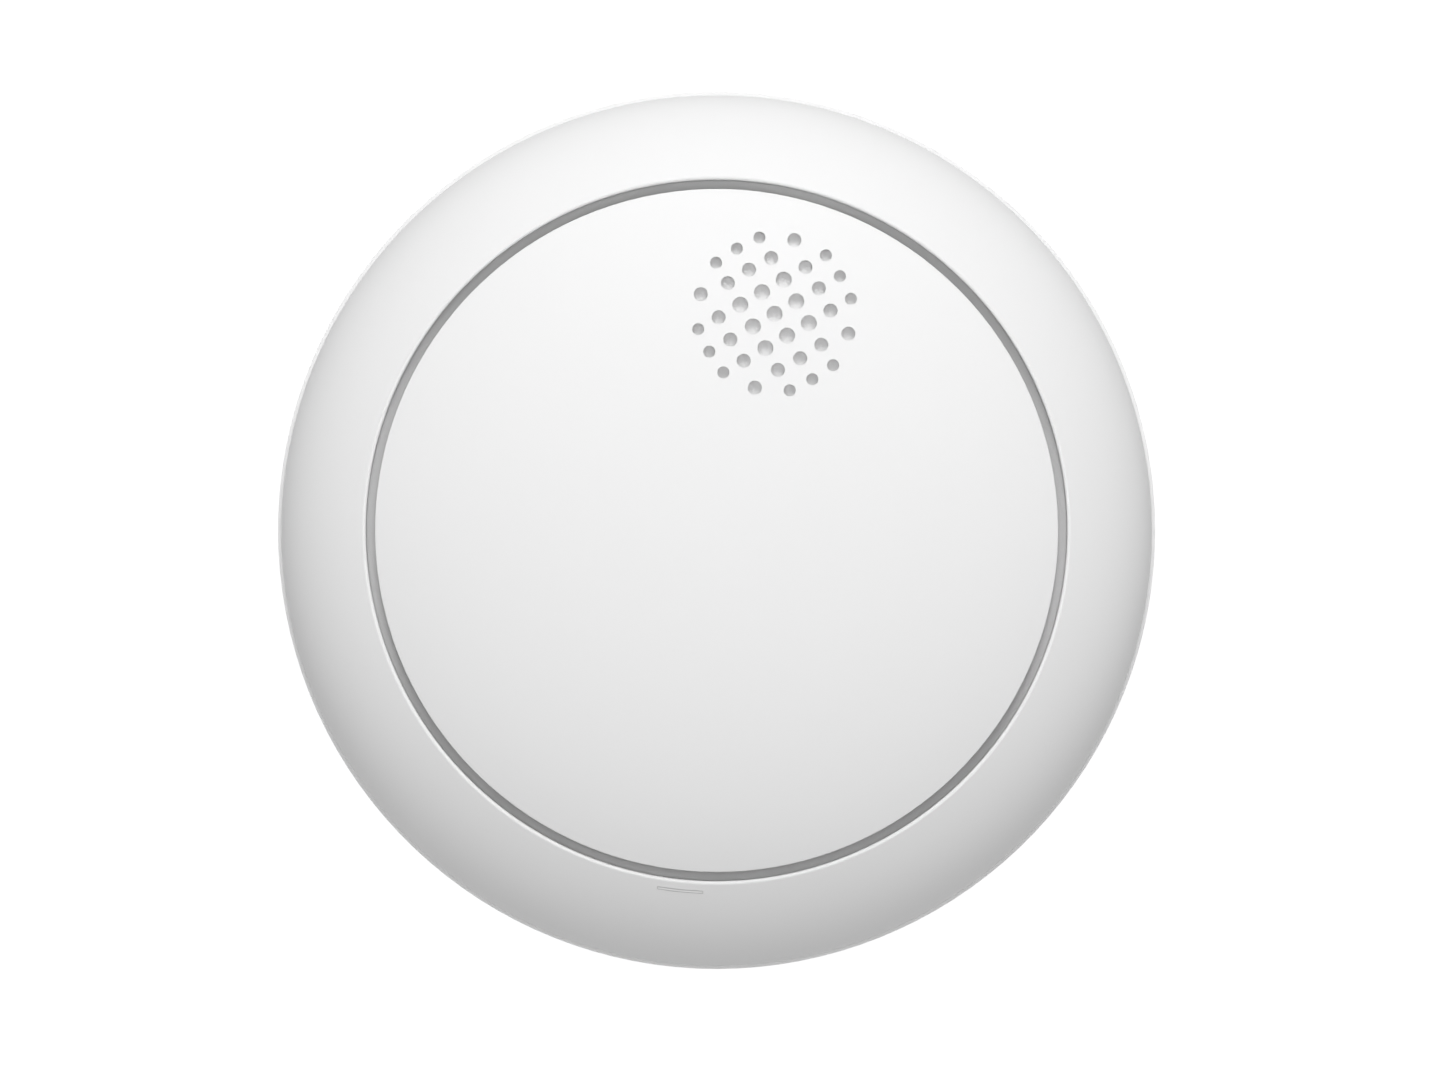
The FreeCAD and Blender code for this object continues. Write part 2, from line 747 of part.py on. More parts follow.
def make_inner_deck():
    """The deck below the cover, with its openings, leg guides and screw posts."""
    body = new_body("inner_deck")
    deck_radius = RING_INNER_RADIUS - D.sliding_gap
    ring(body, "deck", 0, deck_radius, DECK_BOTTOM, D.deck_top)
    sounder_across = D.sounder_distance * cosine(D.sounder_azimuth)
    sounder_along = D.sounder_distance * sine(D.sounder_azimuth)
    openings = (
        ("chamber", D.chamber_across, D.chamber_along, D.chamber_radius + 2.2),
        ("sounder", sounder_across, sounder_along, D.sounder_radius + 0.4),
    )
    for name, across, along, radius in openings:
        collar = new_sketch(body, f"{name}_collar_outline", height=DECK_BOTTOM)
        draw_circle(collar, across, along, radius + 1)
        pad(body, f"{name}_collar", collar, D.deck_thickness + 0.8)
        opening = new_sketch(body, f"{name}_opening_outline", height=D.deck_top + 0.8)
        draw_circle(opening, across, along, radius)
        cut(body, f"{name}_opening", opening, D.deck_thickness + 0.8)

    guide_bottom = DECK_BOTTOM - 1.8
    guide_circle = new_sketch(body, "guide_outline", height=guide_bottom, turn=D.leg_azimuth)
    draw_circle(guide_circle, D.leg_distance, 0, D.leg_radius + 1.8)
    guide = pad(body, "leg_guide", guide_circle, 2.3)
    bore_circle = new_sketch(body, "guide_bore_outline", height=D.deck_top, turn=D.leg_azimuth)
    draw_circle(bore_circle, D.leg_distance, 0, D.leg_radius + D.sliding_gap)
    bore = cut(body, "leg_bore", bore_circle, D.deck_top - guide_bottom)
    repeat_round(body, "leg_guides", [guide, bore], 3)

    post_circle = new_sketch(body, "post_outline", height=BOARD_TOP, turn=D.lock_azimuth)
    draw_circle(post_circle, D.screw_distance, 0, 3)
    post = pad(body, "screw_post", post_circle, DECK_BOTTOM + 0.5 - BOARD_TOP)
    pilot_circle = new_sketch(body, "pilot_outline", height=BOARD_TOP, turn=D.lock_azimuth)
    draw_circle(pilot_circle, D.screw_distance, 0, D.screw_shank_radius + 0.02)
    pilot = cut(body, "pilot_hole", pilot_circle, D.screw_tip + 1 - BOARD_TOP, forward=True)
    repeat_round(body, "screw_posts", [post, pilot], D.lock_count)

    passages = new_sketch(body, "passage_outlines", height=D.deck_top)
    rod_across = D.leg_distance * cosine(D.test_azimuth)
    rod_along = D.leg_distance * sine(D.test_azimuth)
    draw_circle(passages, rod_across, rod_along, 1.5 + SIZES["loose_gap"])
    draw_circle(passages, -36, -25.2, 1.6)
    cut(body, "rod_and_sensor_passages", passages, D.deck_thickness)


def make_cover_springs():
    """Three small coil springs that hold the cover up."""
    body = new_body("cover_springs", turn=D.leg_azimuth)
    bottom = D.deck_top + D.flat_gap + D.wire_radius
    top = D.spring_seat - D.flat_gap - D.wire_radius
    wire = new_sketch(body, "wire_section", "XZ_Plane", across=D.leg_distance)
    draw_circle(wire, D.spring_radius, bottom, D.wire_radius)
    coil = body.newObject("PartDesign::AdditiveHelix", "coil")
    coil.Profile = wire
    coil.ReferenceAxis = (wire, ["V_Axis"])
    coil.Mode = "pitch-turns-angle"
    coil.setExpression("Pitch", ((top - bottom) / D.spring_turns).text)
    coil.setExpression("Turns", D.spring_turns.text)
    repeat_round(body, "coils", [coil], 3)


def make_housing_screws():
    """Four long screws that clamp housing, board and deck together."""
    body = new_body("housing_screws", turn=D.lock_azimuth)
    head_bottom = D.screw_seat - D.screw_head_height
    section = new_sketch(body, "screw_section", "XZ_Plane", across=D.screw_distance)
    draw_outline(section, [
        (0, head_bottom),
        (D.screw_head_radius - 0.6, head_bottom),
        (D.screw_head_radius, head_bottom + 0.6),
        (D.screw_head_radius, D.screw_seat),
        (D.screw_shank_radius, D.screw_seat),
        (D.screw_shank_radius, D.screw_tip - 1.2),
        (0, D.screw_tip),
    ])
    screw = revolve(body, "screw", section)
    drive_height = head_bottom + 1
    drive_long = new_sketch(body, "drive_outline", height=drive_height)
    draw_rectangle(drive_long, D.screw_distance, 0, 2.6, 0.6)
    long_slot = cut(body, "drive_slot", drive_long, 1)
    drive_cross = new_sketch(body, "cross_drive_outline", height=drive_height)
    draw_rectangle(drive_cross, D.screw_distance, 0, 0.6, 2.6)
    cross_slot = cut(body, "cross_drive_slot", drive_cross, 1)
    repeat_round(body, "screws", [screw, long_slot, cross_slot], D.lock_count)


# ---------------------------------------------------------------- circuit board


def make_circuit_board():
    """The round board, cut away beside the two cells."""
    body = new_body("circuit_board")
    ring(body, "board", 0, D.board_radius, D.board_bottom, BOARD_TOP)
    cutouts = new_sketch(body, "cell_cutout_outlines", height=BOARD_TOP)
    for side in (-1, 1):
        inner = D.cell_distance - D.cell_radius - 0.9
        draw_rectangle(cutouts, (inner + 12) * side, 0, 24, D.cell_length + 8)
    cut(body, "cell_cutouts", cutouts, D.board_thickness)
    hole_circle = new_sketch(body, "screw_hole_outline", height=BOARD_TOP, turn=D.lock_azimuth)
    draw_circle(hole_circle, D.screw_distance, 0, D.screw_shank_radius + D.loose_gap)
    hole = cut(body, "screw_hole", hole_circle, D.board_thickness)
    repeat_round(body, "screw_holes", [hole], D.lock_count)


def make_microcontroller():
    """A square chip with a row of legs on each side."""
    body = new_body("microcontroller", 25.8, 8)
    chip = new_sketch(body, "chip_outline", height=BOARD_TOP + 0.2)
    draw_rectangle(chip, 0, 0, 7, 7)
    pad(body, "chip", chip, 1.2)
    legs = new_sketch(body, "leg_outlines", height=BOARD_TOP)
    for index in range(10):
        draw_rectangle(legs, 3.9, (index - 4.5) * 0.6, 1, 0.25)
    leg_row = pad(body, "leg_row", legs, 0.7)
    repeat_round(body, "leg_rows", [leg_row], 4)


def make_radio_shield():
    """The folded metal can over the radio."""
    body = new_body("radio_shield", -19, 20)
    can = new_sketch(body, "can_outline", height=BOARD_TOP)
    draw_rectangle(can, 0, 0, 16, 12)
    block = pad(body, "can", can, 2.4)
    round_edges(body, "can_corners", block, 0.8, is_upright)
    inside = new_sketch(body, "inside_outline", height=BOARD_TOP)
    draw_rectangle(inside, 0, 0, 15.4, 11.4)
    cut(body, "can_inside", inside, 2.1, forward=True)
    vents = new_sketch(body, "vent_outlines", height=BOARD_TOP + 2.4)
    for column in (-2, -1, 0, 1, 2):
        for row in (-1, 0, 1):
            draw_circle(vents, column * 2.6, row * 2.6, 0.5)
    cut(body, "can_vents", vents, 0.4)


def make_antenna():
    """A springy metal strip standing on three feet along the board's edge."""
    body = new_body("antenna", turn=288)
    strip = new_sketch(body, "strip_section", "XZ_Plane")
    draw_rectangle(strip, 47, BOARD_TOP + 3.3, 0.5, 4.2)
    revolve(body, "strip", strip, 32)
    for number, turn in enumerate((-15, 0, 15)):
        foot = new_sketch(body, f"foot_{number}_section", "XZ_Plane", turn=turn)
        draw_rectangle(foot, 47, BOARD_TOP + 0.7, 0.5, 1.4)
        revolve(body, f"foot_{number}", foot, 2)
    for number in range(6):
        slit = new_sketch(body, f"slit_{number}_section", "XZ_Plane", turn=number * 5 - 12.5)
        draw_rectangle(slit, 47, BOARD_TOP + (4.2 if number % 2 else 2.4), 2, 3)
        groove(body, f"slit_{number}", slit, 0.9)


def make_board_capacitors():
    """Three round capacitors on square feet."""
    body = new_body("board_capacitors", -28.2, -4)
    feet = new_sketch(body, "foot_outlines", height=BOARD_TOP)
    cans = new_sketch(body, "can_outlines", height=BOARD_TOP + 0.6)
    for index in (-1, 0, 1):
        draw_rectangle(feet, 0, index * 7.6, 5.2, 5.2)
        draw_circle(cans, 0, index * 7.6, 2.5)
    pad(body, "feet", feet, 0.6)
    pad(body, "cans", cans, 5.4)


def make_horn_transformer():
    """The wound drum that drives the sounder."""
    body = new_body("horn_transformer", 26.5, -12)
    section = new_sketch(body, "drum_section", "XZ_Plane")
    draw_outline(section, [
        (0, BOARD_TOP),
        (4, BOARD_TOP),
        (4, BOARD_TOP + 0.9),
        (3.3, BOARD_TOP + 0.9),
        (3.3, BOARD_TOP + 5),
        (4, BOARD_TOP + 5),
        (4, BOARD_TOP + 5.8),
        (0, BOARD_TOP + 5.8),
    ])
    revolve(body, "drum", section)


def make_surface_mount_parts():
    """The small chips and resistors spread over the board."""
    body = new_body("surface_mount_parts")
    outlines = new_sketch(body, "chip_outlines", height=BOARD_TOP)
    for column in range(3):
        for row in range(3):
            draw_rectangle(outlines, -22 + column * 4, 34 + row * 3, 2, 1.2)
    for column in range(2):
        for row in range(3):
            draw_rectangle(outlines, 23 + column * 4, -26 + row * 3, 2, 1.2)
    pad(body, "chips", outlines, 0.7)


# ---------------------------------------------------------------- optical chamber


def make_chamber_base():
    """The foot of the smoke chamber, with the two barrels that aim the beam."""
    body = new_body("chamber_base", D.chamber_across, D.chamber_along)
    disc_bottom = BOARD_TOP + 0.4
    wall_inner = D.chamber_radius - 1.4
    section = new_sketch(body, "dish_section", "XZ_Plane")
    draw_outline(section, [
        (0, disc_bottom),
        (D.chamber_radius + 1.2, disc_bottom),
        (D.chamber_radius + 1.2, FLANGE_TOP),
        (D.chamber_radius, FLANGE_TOP),
        (D.chamber_radius, VANE_BOTTOM),
        (wall_inner, VANE_BOTTOM),
        (wall_inner, FLANGE_TOP),
        (0, FLANGE_TOP),
    ])
    revolve(body, "dish", section)
    foot_circle = new_sketch(body, "foot_outline", height=BOARD_TOP, turn=90)
    draw_circle(foot_circle, 17, 0, 1.5)
    foot = pad(body, "foot", foot_circle, 0.6)
    repeat_round(body, "feet", [foot], 3)
    for name, azimuth in (("emitter", D.emitter_azimuth), ("receiver", D.receiver_azimuth)):
        block = new_sketch(body, f"{name}_barrel_outline", height=FLANGE_TOP - 0.2, turn=azimuth)
        draw_rectangle(block, 9.9, 0, 7.8, 7)
        pad(body, f"{name}_barrel", block, VANE_BOTTOM - FLANGE_TOP + 0.2)
        bore = new_sketch(body, f"{name}_bore_outline", "YZ_Plane", turn=azimuth)
        draw_circle(bore, 0, D.beam_height, 1.5)
        cut(body, f"{name}_bore", bore, 16, forward=True)
        slot = new_sketch(body, f"{name}_lead_slot_outline", height=FLANGE_TOP, turn=azimuth)
        draw_rectangle(slot, 14.9, 0, 1.8, 4.4)
        cut(body, f"{name}_lead_slot", slot, 1.4)


def make_chamber_labyrinth():
    """The lid of the chamber and its bent vanes: smoke gets in, light does not."""
    body = new_body("chamber_labyrinth", D.chamber_across, D.chamber_along)
    lid_radius = D.chamber_radius - 0.4
    lid_bottom = D.chamber_top - 1.2
    ring(body, "lid", 0, lid_radius, lid_bottom, D.chamber_top)
    inner = D.chamber_radius - 6.6
    bend = D.chamber_radius - 3.6
    outer = D.chamber_radius - 0.6
    vane_outline = new_sketch(body, "vane_outline", height=VANE_BOTTOM)
    draw_outline(vane_outline, [
        (inner, -2.6), (bend, 0.5), (outer, -2.6), (outer, -1.6), (bend, 1.6), (inner, -1.6),
    ])
    vane = pad(body, "vane", vane_outline, lid_bottom + 0.2 - VANE_BOTTOM)
    repeat_round(body, "vanes", [vane], 12)


def make_insect_screen():
    """The thin metal frame of the insect screen round the chamber."""
    body = new_body("insect_screen", D.chamber_across, D.chamber_along)
    inner = D.chamber_radius + D.loose_gap
    ring(body, "band", inner, inner + 0.3, FLANGE_TOP, D.chamber_top - 0.1)
    window = new_sketch(body, "window_outline", "YZ_Plane")
    draw_rectangle(window, 0, D.chamber_top - 4, 3.6, 5.6)
    first_window = cut(body, "window", window, inner + 1, forward=True)
    repeat_round(body, "windows", [first_window], 24)


def make_optical_part(name, azimuth):
    """A small round light emitter or receiver lying along the beam."""
    body = new_body(name, D.chamber_across, D.chamber_along, D.beam_height, azimuth)
    front = 8
    back = 13.4
    radius = 1.2
    section = new_sketch(body, "lens_section", "XZ_Plane")
    draw_outline(section, [(front, 0), (back, 0), (back, radius), (front, radius)])
    lens = revolve(body, "lens", section, axis="H_Axis")
    round_edges(
        body, "lens_round", lens, radius - 0.1,
        lambda edge: edge.BoundBox.XLength < 0.01 and abs(edge.BoundBox.XMin - front) < 0.01)
    board = BOARD_TOP - D.beam_height
    for number, side in enumerate((-1, 1)):
        lead = new_sketch(body, f"lead_{number}_outline", "XZ_Plane", height=side * 0.8)
        draw_outline(lead, [
            (back - 0.2, -0.2), (back - 0.2, 0.2), (back + 1.7, 0.2),
            (back + 1.7, board), (back + 1.3, board), (back + 1.3, -0.2),
        ])
        pad(body, f"lead_{number}", lead, 0.4, both_ways=True)


# ---------------------------------------------------------------- sounder


def new_sounder_body(name):
    return new_body(name, D.sounder_distance * cosine(D.sounder_azimuth),
                    D.sounder_distance * sine(D.sounder_azimuth))


def make_sounder_cup():
    """The resonator cup round the sounder disc."""
    body = new_sounder_body("sounder_cup")
    inner = D.sounder_radius - 1.2
    ledge_inner = inner - 1.2
    lid_bottom = D.sounder_top - 1.2
    section = new_sketch(body, "cup_section", "XZ_Plane")
    draw_outline(section, [
        (inner, BOARD_TOP),
        (D.sounder_radius, BOARD_TOP),
        (D.sounder_radius, D.sounder_top),
        (5, D.sounder_top),
        (5, lid_bottom),
        (inner, lid_bottom),
        (inner, SOUNDER_LEDGE + 1),
        (ledge_inner, SOUNDER_LEDGE + 1),
        (ledge_inner, SOUNDER_LEDGE),
        (inner, SOUNDER_LEDGE),
    ])
    revolve(body, "cup", section)


def make_sounder_parts():
    """The brass plate, its ceramic, the soft gasket and the ring that keeps them in."""
    plate = new_sounder_body("sounder_plate")
    ring(plate, "plate", 0, D.sounder_radius - 1.5, PLATE_BOTTOM, SOUNDER_LEDGE)
    ceramic = new_sounder_body("sounder_ceramic")
    ring(ceramic, "ceramic", 0, 9.85, PLATE_BOTTOM - 0.25, PLATE_BOTTOM)
    gasket = new_sounder_body("sounder_gasket")
    gasket_bottom = PLATE_BOTTOM - 0.8
    ring(gasket, "gasket", D.sounder_radius - 2.6, D.sounder_radius - 1.5,
         gasket_bottom, PLATE_BOTTOM)
    retainer = new_sounder_body("sounder_retainer")
    ring(retainer, "retainer", D.sounder_radius - 2.8, D.sounder_radius - 1.25,
         gasket_bottom - 1.4, gasket_bottom)


def make_sounder_contacts():
    """Three leaf springs that stand on the board and touch the sounder."""
    body = new_sounder_body("sounder_contacts")
    foot = BOARD_TOP
    touch = PLATE_BOTTOM - 0.3
    leaf_outline = new_sketch(body, "leaf_outline", "XZ_Plane")
    draw_outline(leaf_outline, [
        (4, foot), (9, foot), (9, foot + 0.4), (5.5, touch - 0.4), (5.5, touch),
        (4.6, touch), (4.6, touch - 0.5), (8.2, foot + 0.3), (4, foot + 0.3),
    ])
    leaf = pad(body, "leaf", leaf_outline, 1.6, both_ways=True)
    repeat_round(body, "leaves", [leaf], 3)


# ---------------------------------------------------------------- power


def make_cell(name, side):
    """One round lithium cell lying along Y, with a raised contact at each end."""
    turn = 0 if side > 0 else 180
    body = new_body(name, D.cell_distance * side, 0, D.cell_height, turn)
    half = D.cell_length / 2
    section = new_sketch(body, "cell_section", "XY_Plane")
    positive = half + 0.7
    draw_outline(section, [
        (0, -positive), (5.5, -positive), (5.5, -half), (D.cell_radius, -half),
        (D.cell_radius, half), (2.8, half), (2.8, positive), (0, positive),
    ])
    can = revolve(body, "cell", section)
    round_edges(
        body, "cell_round", can, 0.6,
        lambda edge: abs(edge.BoundBox.XLength - 2 * SIZES["cell_radius"]) < 0.01
        and edge.BoundBox.YLength < 0.01)


def make_cell_tabs():
    """Nickel strips welded to the cells and soldered to the board."""
    body = new_body("cell_tabs")
    near = D.cell_length / 2 + 0.75
    tab_bottom = D.cell_height - 2.4
    tab_top = D.cell_height + 2.4
    for number, side in enumerate((-1, 1)):
        strip = new_sketch(body, f"tab_{number}_outline", "YZ_Plane",
                           height=D.cell_distance * side)
        for end in (-1, 1):
            draw_outline(strip, [
                (near * end, tab_bottom), (near * end, tab_top), ((near + 0.3) * end, tab_top),
                ((near + 0.3) * end, BOARD_TOP + 0.3), ((near + 6.5) * end, BOARD_TOP + 0.3),
                ((near + 6.5) * end, BOARD_TOP), ((near + 0.3) * end, BOARD_TOP),
                ((near + 0.3) * end, tab_bottom),
            ])
        pad(body, f"tabs_{number}", strip, 4, both_ways=True)


def make_cell_pads():
    """Foam strips between the cells and the deck."""
    body = new_body("cell_pads")
    bottom = D.cell_height + D.cell_radius + D.sliding_gap
    outlines = new_sketch(body, "pad_outlines", height=bottom)
    for side in (-1, 1):
        for end in (-1, 1):
            draw_rectangle(outlines, D.cell_distance * side, 7 * end, 5, 8)
    pad(body, "pads", outlines, DECK_BOTTOM - bottom)


# ---------------------------------------------------------------- switches


def make_test_switch():
    """The push switch under the cover's rod: a body and a plunger that slides in it."""
    across = D.leg_distance * cosine(D.test_azimuth)
    along = D.leg_distance * sine(D.test_azimuth)
    top = BOARD_TOP + 3.5
    neck = top - 0.7
    body = new_body("test_switch_body", across, along, turn=D.test_azimuth)
    block = new_sketch(body, "block_outline", height=BOARD_TOP)
    draw_rectangle(block, 0, 0, 6.2, 6.2)
    pad(body, "block", block, 3.5)
    cavity = new_sketch(body, "cavity_section", "XZ_Plane")
    draw_outline(cavity, [
        (0, BOARD_TOP + 0.6), (2.5, BOARD_TOP + 0.6), (2.5, neck),
        (1.8, neck), (1.8, top + 1), (0, top + 1),
    ])
    groove(body, "cavity", cavity)

    plunger = new_body("test_switch_plunger", across, along)
    section = new_sketch(plunger, "plunger_section", "XZ_Plane")
    draw_outline(section, [
        (0, neck - 1.1), (2.3, neck - 1.1), (2.3, neck - D.flat_gap),
        (as_size(1.8) - D.sliding_gap, neck - D.flat_gap),
        (as_size(1.8) - D.sliding_gap, ACTUATOR_BOTTOM - D.sliding_gap),
        (0, ACTUATOR_BOTTOM - D.sliding_gap),
    ])
    revolve(plunger, "plunger", section)


def make_tamper_switch():
    """The switch that feels the mounting plate: a body below the board and a plunger."""
    bottom = D.board_bottom - 3.6
    neck = bottom + 0.6
    body = new_body("tamper_switch_body", D.tamper_across, D.tamper_along)
    block = new_sketch(body, "block_outline", height=bottom)
    draw_rectangle(block, 0, 0, 6.2, 6.2)
    pad(body, "block", block, 3.6)
    cavity = new_sketch(body, "cavity_section", "XZ_Plane")
    draw_outline(cavity, [
        (0, bottom - 1), (1.3, bottom - 1), (1.3, neck),
        (2.2, neck), (2.2, neck + 2.2), (0, neck + 2.2),
    ])
    groove(body, "cavity", cavity)

    plunger = new_body("tamper_plunger", D.tamper_across, D.tamper_along)
    foot = D.plate_thickness + D.sliding_gap
    section = new_sketch(plunger, "plunger_section", "XZ_Plane")
    draw_outline(section, [
        (0, foot), (0.9, foot), (1.25, foot + 0.35), (1.25, neck + D.flat_gap),
        (1.9, neck + D.flat_gap), (1.9, neck + 1.1), (0, neck + 1.1),
    ])
    revolve(plunger, "plunger", section)


# ---------------------------------------------------------------- sensors and light


def make_thermistor():
    """The heat sensor: a bead on two thin legs, standing up in the air slot."""
    body = new_body("thermistor", -36, -25.2)
    bead_bottom = D.deck_top + 0.8
    section = new_sketch(body, "bead_section", "XZ_Plane")
    draw_outline(section, [
        (0, bead_bottom), (0.8, bead_bottom), (1.1, bead_bottom + 0.4),
        (1.1, bead_bottom + 1.6), (0.7, bead_bottom + 2), (0, bead_bottom + 2),
    ])
    revolve(body, "bead", section)
    legs = new_sketch(body, "leg_outlines", height=BOARD_TOP)
    for side in (-1, 1):
        draw_circle(legs, side * 0.5, 0, 0.2)
    pad(body, "legs", legs, bead_bottom + 0.5 - BOARD_TOP)


def make_status_light():
    """The lamp on the board and the clear guide that carries its light to the ring."""
    lamp = new_body("status_led", turn=D.light_azimuth)
    outline = new_sketch(lamp, "lamp_outline", height=BOARD_TOP)
    draw_rectangle(outline, 48, 0, 2, 3)
    pad(lamp, "lamp", outline, 1.2)

    guide = new_body("status_light_guide", turn=D.light_azimuth)
    inner = D.light_radius - D.light_thickness / 2
    outer = D.light_radius + D.light_thickness / 2
    foot_bottom = BOARD_TOP + 1.5
    section = new_sketch(guide, "guide_section", "XZ_Plane")
    draw_outline(section, [
        (46.6, foot_bottom),
        (outer - 1, foot_bottom),
        (outer, foot_bottom + 1),
        (outer, OUTSIDE.height_at(outer)),
        (inner, OUTSIDE.height_at(inner)),
        (inner, foot_bottom + 1.6),
        (46.6, foot_bottom + 1.6),
    ])
    revolve(guide, "guide", section, D.light_angle)


def check_and_write():
    """Checks every object and writes one file for each sub-part."""
    DOC.recompute()
    for item in DOC.Objects:
        if "Invalid" in item.State or "Error" in item.State:
            raise ValueError(f"{item.Label}: {item.State}")
    os.makedirs("parts", exist_ok=True)
    for body in SUB_PARTS:
        shape = body.Shape
        if shape.isNull() or not shape.isValid() or not shape.Solids:
            raise ValueError(f"{body.Label}: no valid solid")
        shape.exportStep(f"parts/{body.Label}.step")
        print(body.Label, len(shape.Solids), round(shape.Volume, 1))


make_mounting_plate()
make_rear_housing()
make_front_ring()
make_cover_disc()
make_grille_cloth()
make_inner_deck()
make_cover_springs()
make_housing_screws()
make_circuit_board()
make_microcontroller()
make_radio_shield()
make_antenna()
make_board_capacitors()
make_horn_transformer()
make_surface_mount_parts()
make_chamber_base()
make_chamber_labyrinth()
make_insect_screen()
make_optical_part("infrared_led", D.emitter_azimuth)
make_optical_part("photodiode", D.receiver_azimuth)
make_sounder_cup()
make_sounder_parts()
make_sounder_contacts()
make_cell("cell_left", -1)
make_cell("cell_right", 1)
make_cell_tabs()
make_cell_pads()
make_test_switch()
make_tamper_switch()
make_thermistor()
make_status_light()
check_and_write()
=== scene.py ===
"""The looks of a round ceiling smoke detector, built around its CAD frame.

Every length is in metres in the row frame: the detector stands on its mounting plate
at Z = 0, its face looks along +Z, and +Y is towards the top edge of the face.
"""
import math

import bmesh
import bpy
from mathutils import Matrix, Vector


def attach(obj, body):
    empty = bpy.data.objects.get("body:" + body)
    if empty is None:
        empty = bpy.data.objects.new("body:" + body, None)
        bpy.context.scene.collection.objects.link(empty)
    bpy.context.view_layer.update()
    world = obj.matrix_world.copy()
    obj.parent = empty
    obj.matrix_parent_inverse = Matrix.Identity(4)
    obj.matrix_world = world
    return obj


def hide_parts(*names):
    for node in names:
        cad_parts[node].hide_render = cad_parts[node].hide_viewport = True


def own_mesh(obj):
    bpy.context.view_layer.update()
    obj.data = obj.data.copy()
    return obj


MM = 0.001
SIDES = (-1, 1)

# The detector, as the CAD part has it.
OUTER_RADIUS = 66 * MM
BOARD_BOTTOM = 12 * MM
BOARD_TOP = 13.6 * MM
DECK_TOP = 21.6 * MM

# The smoke chamber, the windows of the screen round it, and how far the backs of its two
# lenses are from its axis.
CHAMBER_CENTRE = (-2.33 * MM, -8.69 * MM)
CHAMBER_TOP = 28.5 * MM
SCREEN_RADIUS = 21.45 * MM
WINDOW_BOTTOM = CHAMBER_TOP - 6.6 * MM
WINDOW_TOP = CHAMBER_TOP - 1.4 * MM
LENS_BACK = 13.45 * MM

# The sounder, and its contacts that stand on the board.
SOUNDER_CENTRE = (8.73 * MM, 32.58 * MM)
ELECTRODE_RADIUS = 8.9 * MM
CONTACT_DISTANCE = 9 * MM
CONTACT_AZIMUTHS = (0, 120, 240)

# The cells, and where their strips are soldered to the board.
CELL_DISTANCE = 39.5 * MM
CELL_LENGTH = 25 * MM
STRIP_SOLDER_ALONG = 19 * MM

# The parts on the board.
CHIP_CENTRE = (25.8 * MM, 8 * MM)
CHIP_BODY_HALF = 3.52 * MM
CAPACITOR_ACROSS = -28.2 * MM
CAPACITOR_FOOT_TOP = BOARD_TOP + 0.62 * MM
LAMP_RIM = BOARD_TOP + 1.15 * MM
TRANSFORMER_CENTRE = (26.5 * MM, -12 * MM)
TRANSFORMER_HEIGHT = 5.8 * MM

# The heat sensor above the deck.
SENSOR_CENTRE = (-36 * MM, -25.2 * MM)
SENSOR_LEG_OFFSET = 0.5 * MM
SENSOR_LEG_RADIUS = 0.2 * MM
BEAD_BOTTOM = DECK_TOP + 0.8 * MM

# The springs round the cover's legs.
LEG_DISTANCE = 40 * MM
LEG_AZIMUTHS = (30, 150, 270)
SPRING_BOTTOM = DECK_TOP + 0.1 * MM
SPRING_TOP = 26.9 * MM
SPRING_RADIUS = 2.75 * MM
WIRE_RADIUS = 0.25 * MM

# The housing screws and the threaded length of their shanks.
SCREW_DISTANCE = 45 * MM
SCREW_AZIMUTHS = (45, 135, 225, 315)
SCREW_RADIUS = 1.2 * MM
THREAD_BOTTOM = 7 * MM
THREAD_TOP = 17.4 * MM

# How the detector sits in the camera's view: its share of the width, and the point on the
# face that the camera looks at.
FACE_WIDTH_SHARE = 0.607
AIM_RIGHT = 0.89 * MM
AIM_UP = -1.74 * MM
CAMERA_HEIGHT = 1.5
NEAREST_SEEN = 0.1
FARTHEST_SEEN = 50

# The period of a wave texture whose scale is 1.
WAVE_PERIOD = math.tau / 20

# The span that most of a noise texture's values lie in, and its middle.
NOISE_LOW = 0.3
NOISE_MIDDLE = 0.5
NOISE_HIGH = 0.7

WHITE = (1, 1, 1)
TIN = (0.74, 0.74, 0.73)


# ---------------------------------------------------------------- surfaces


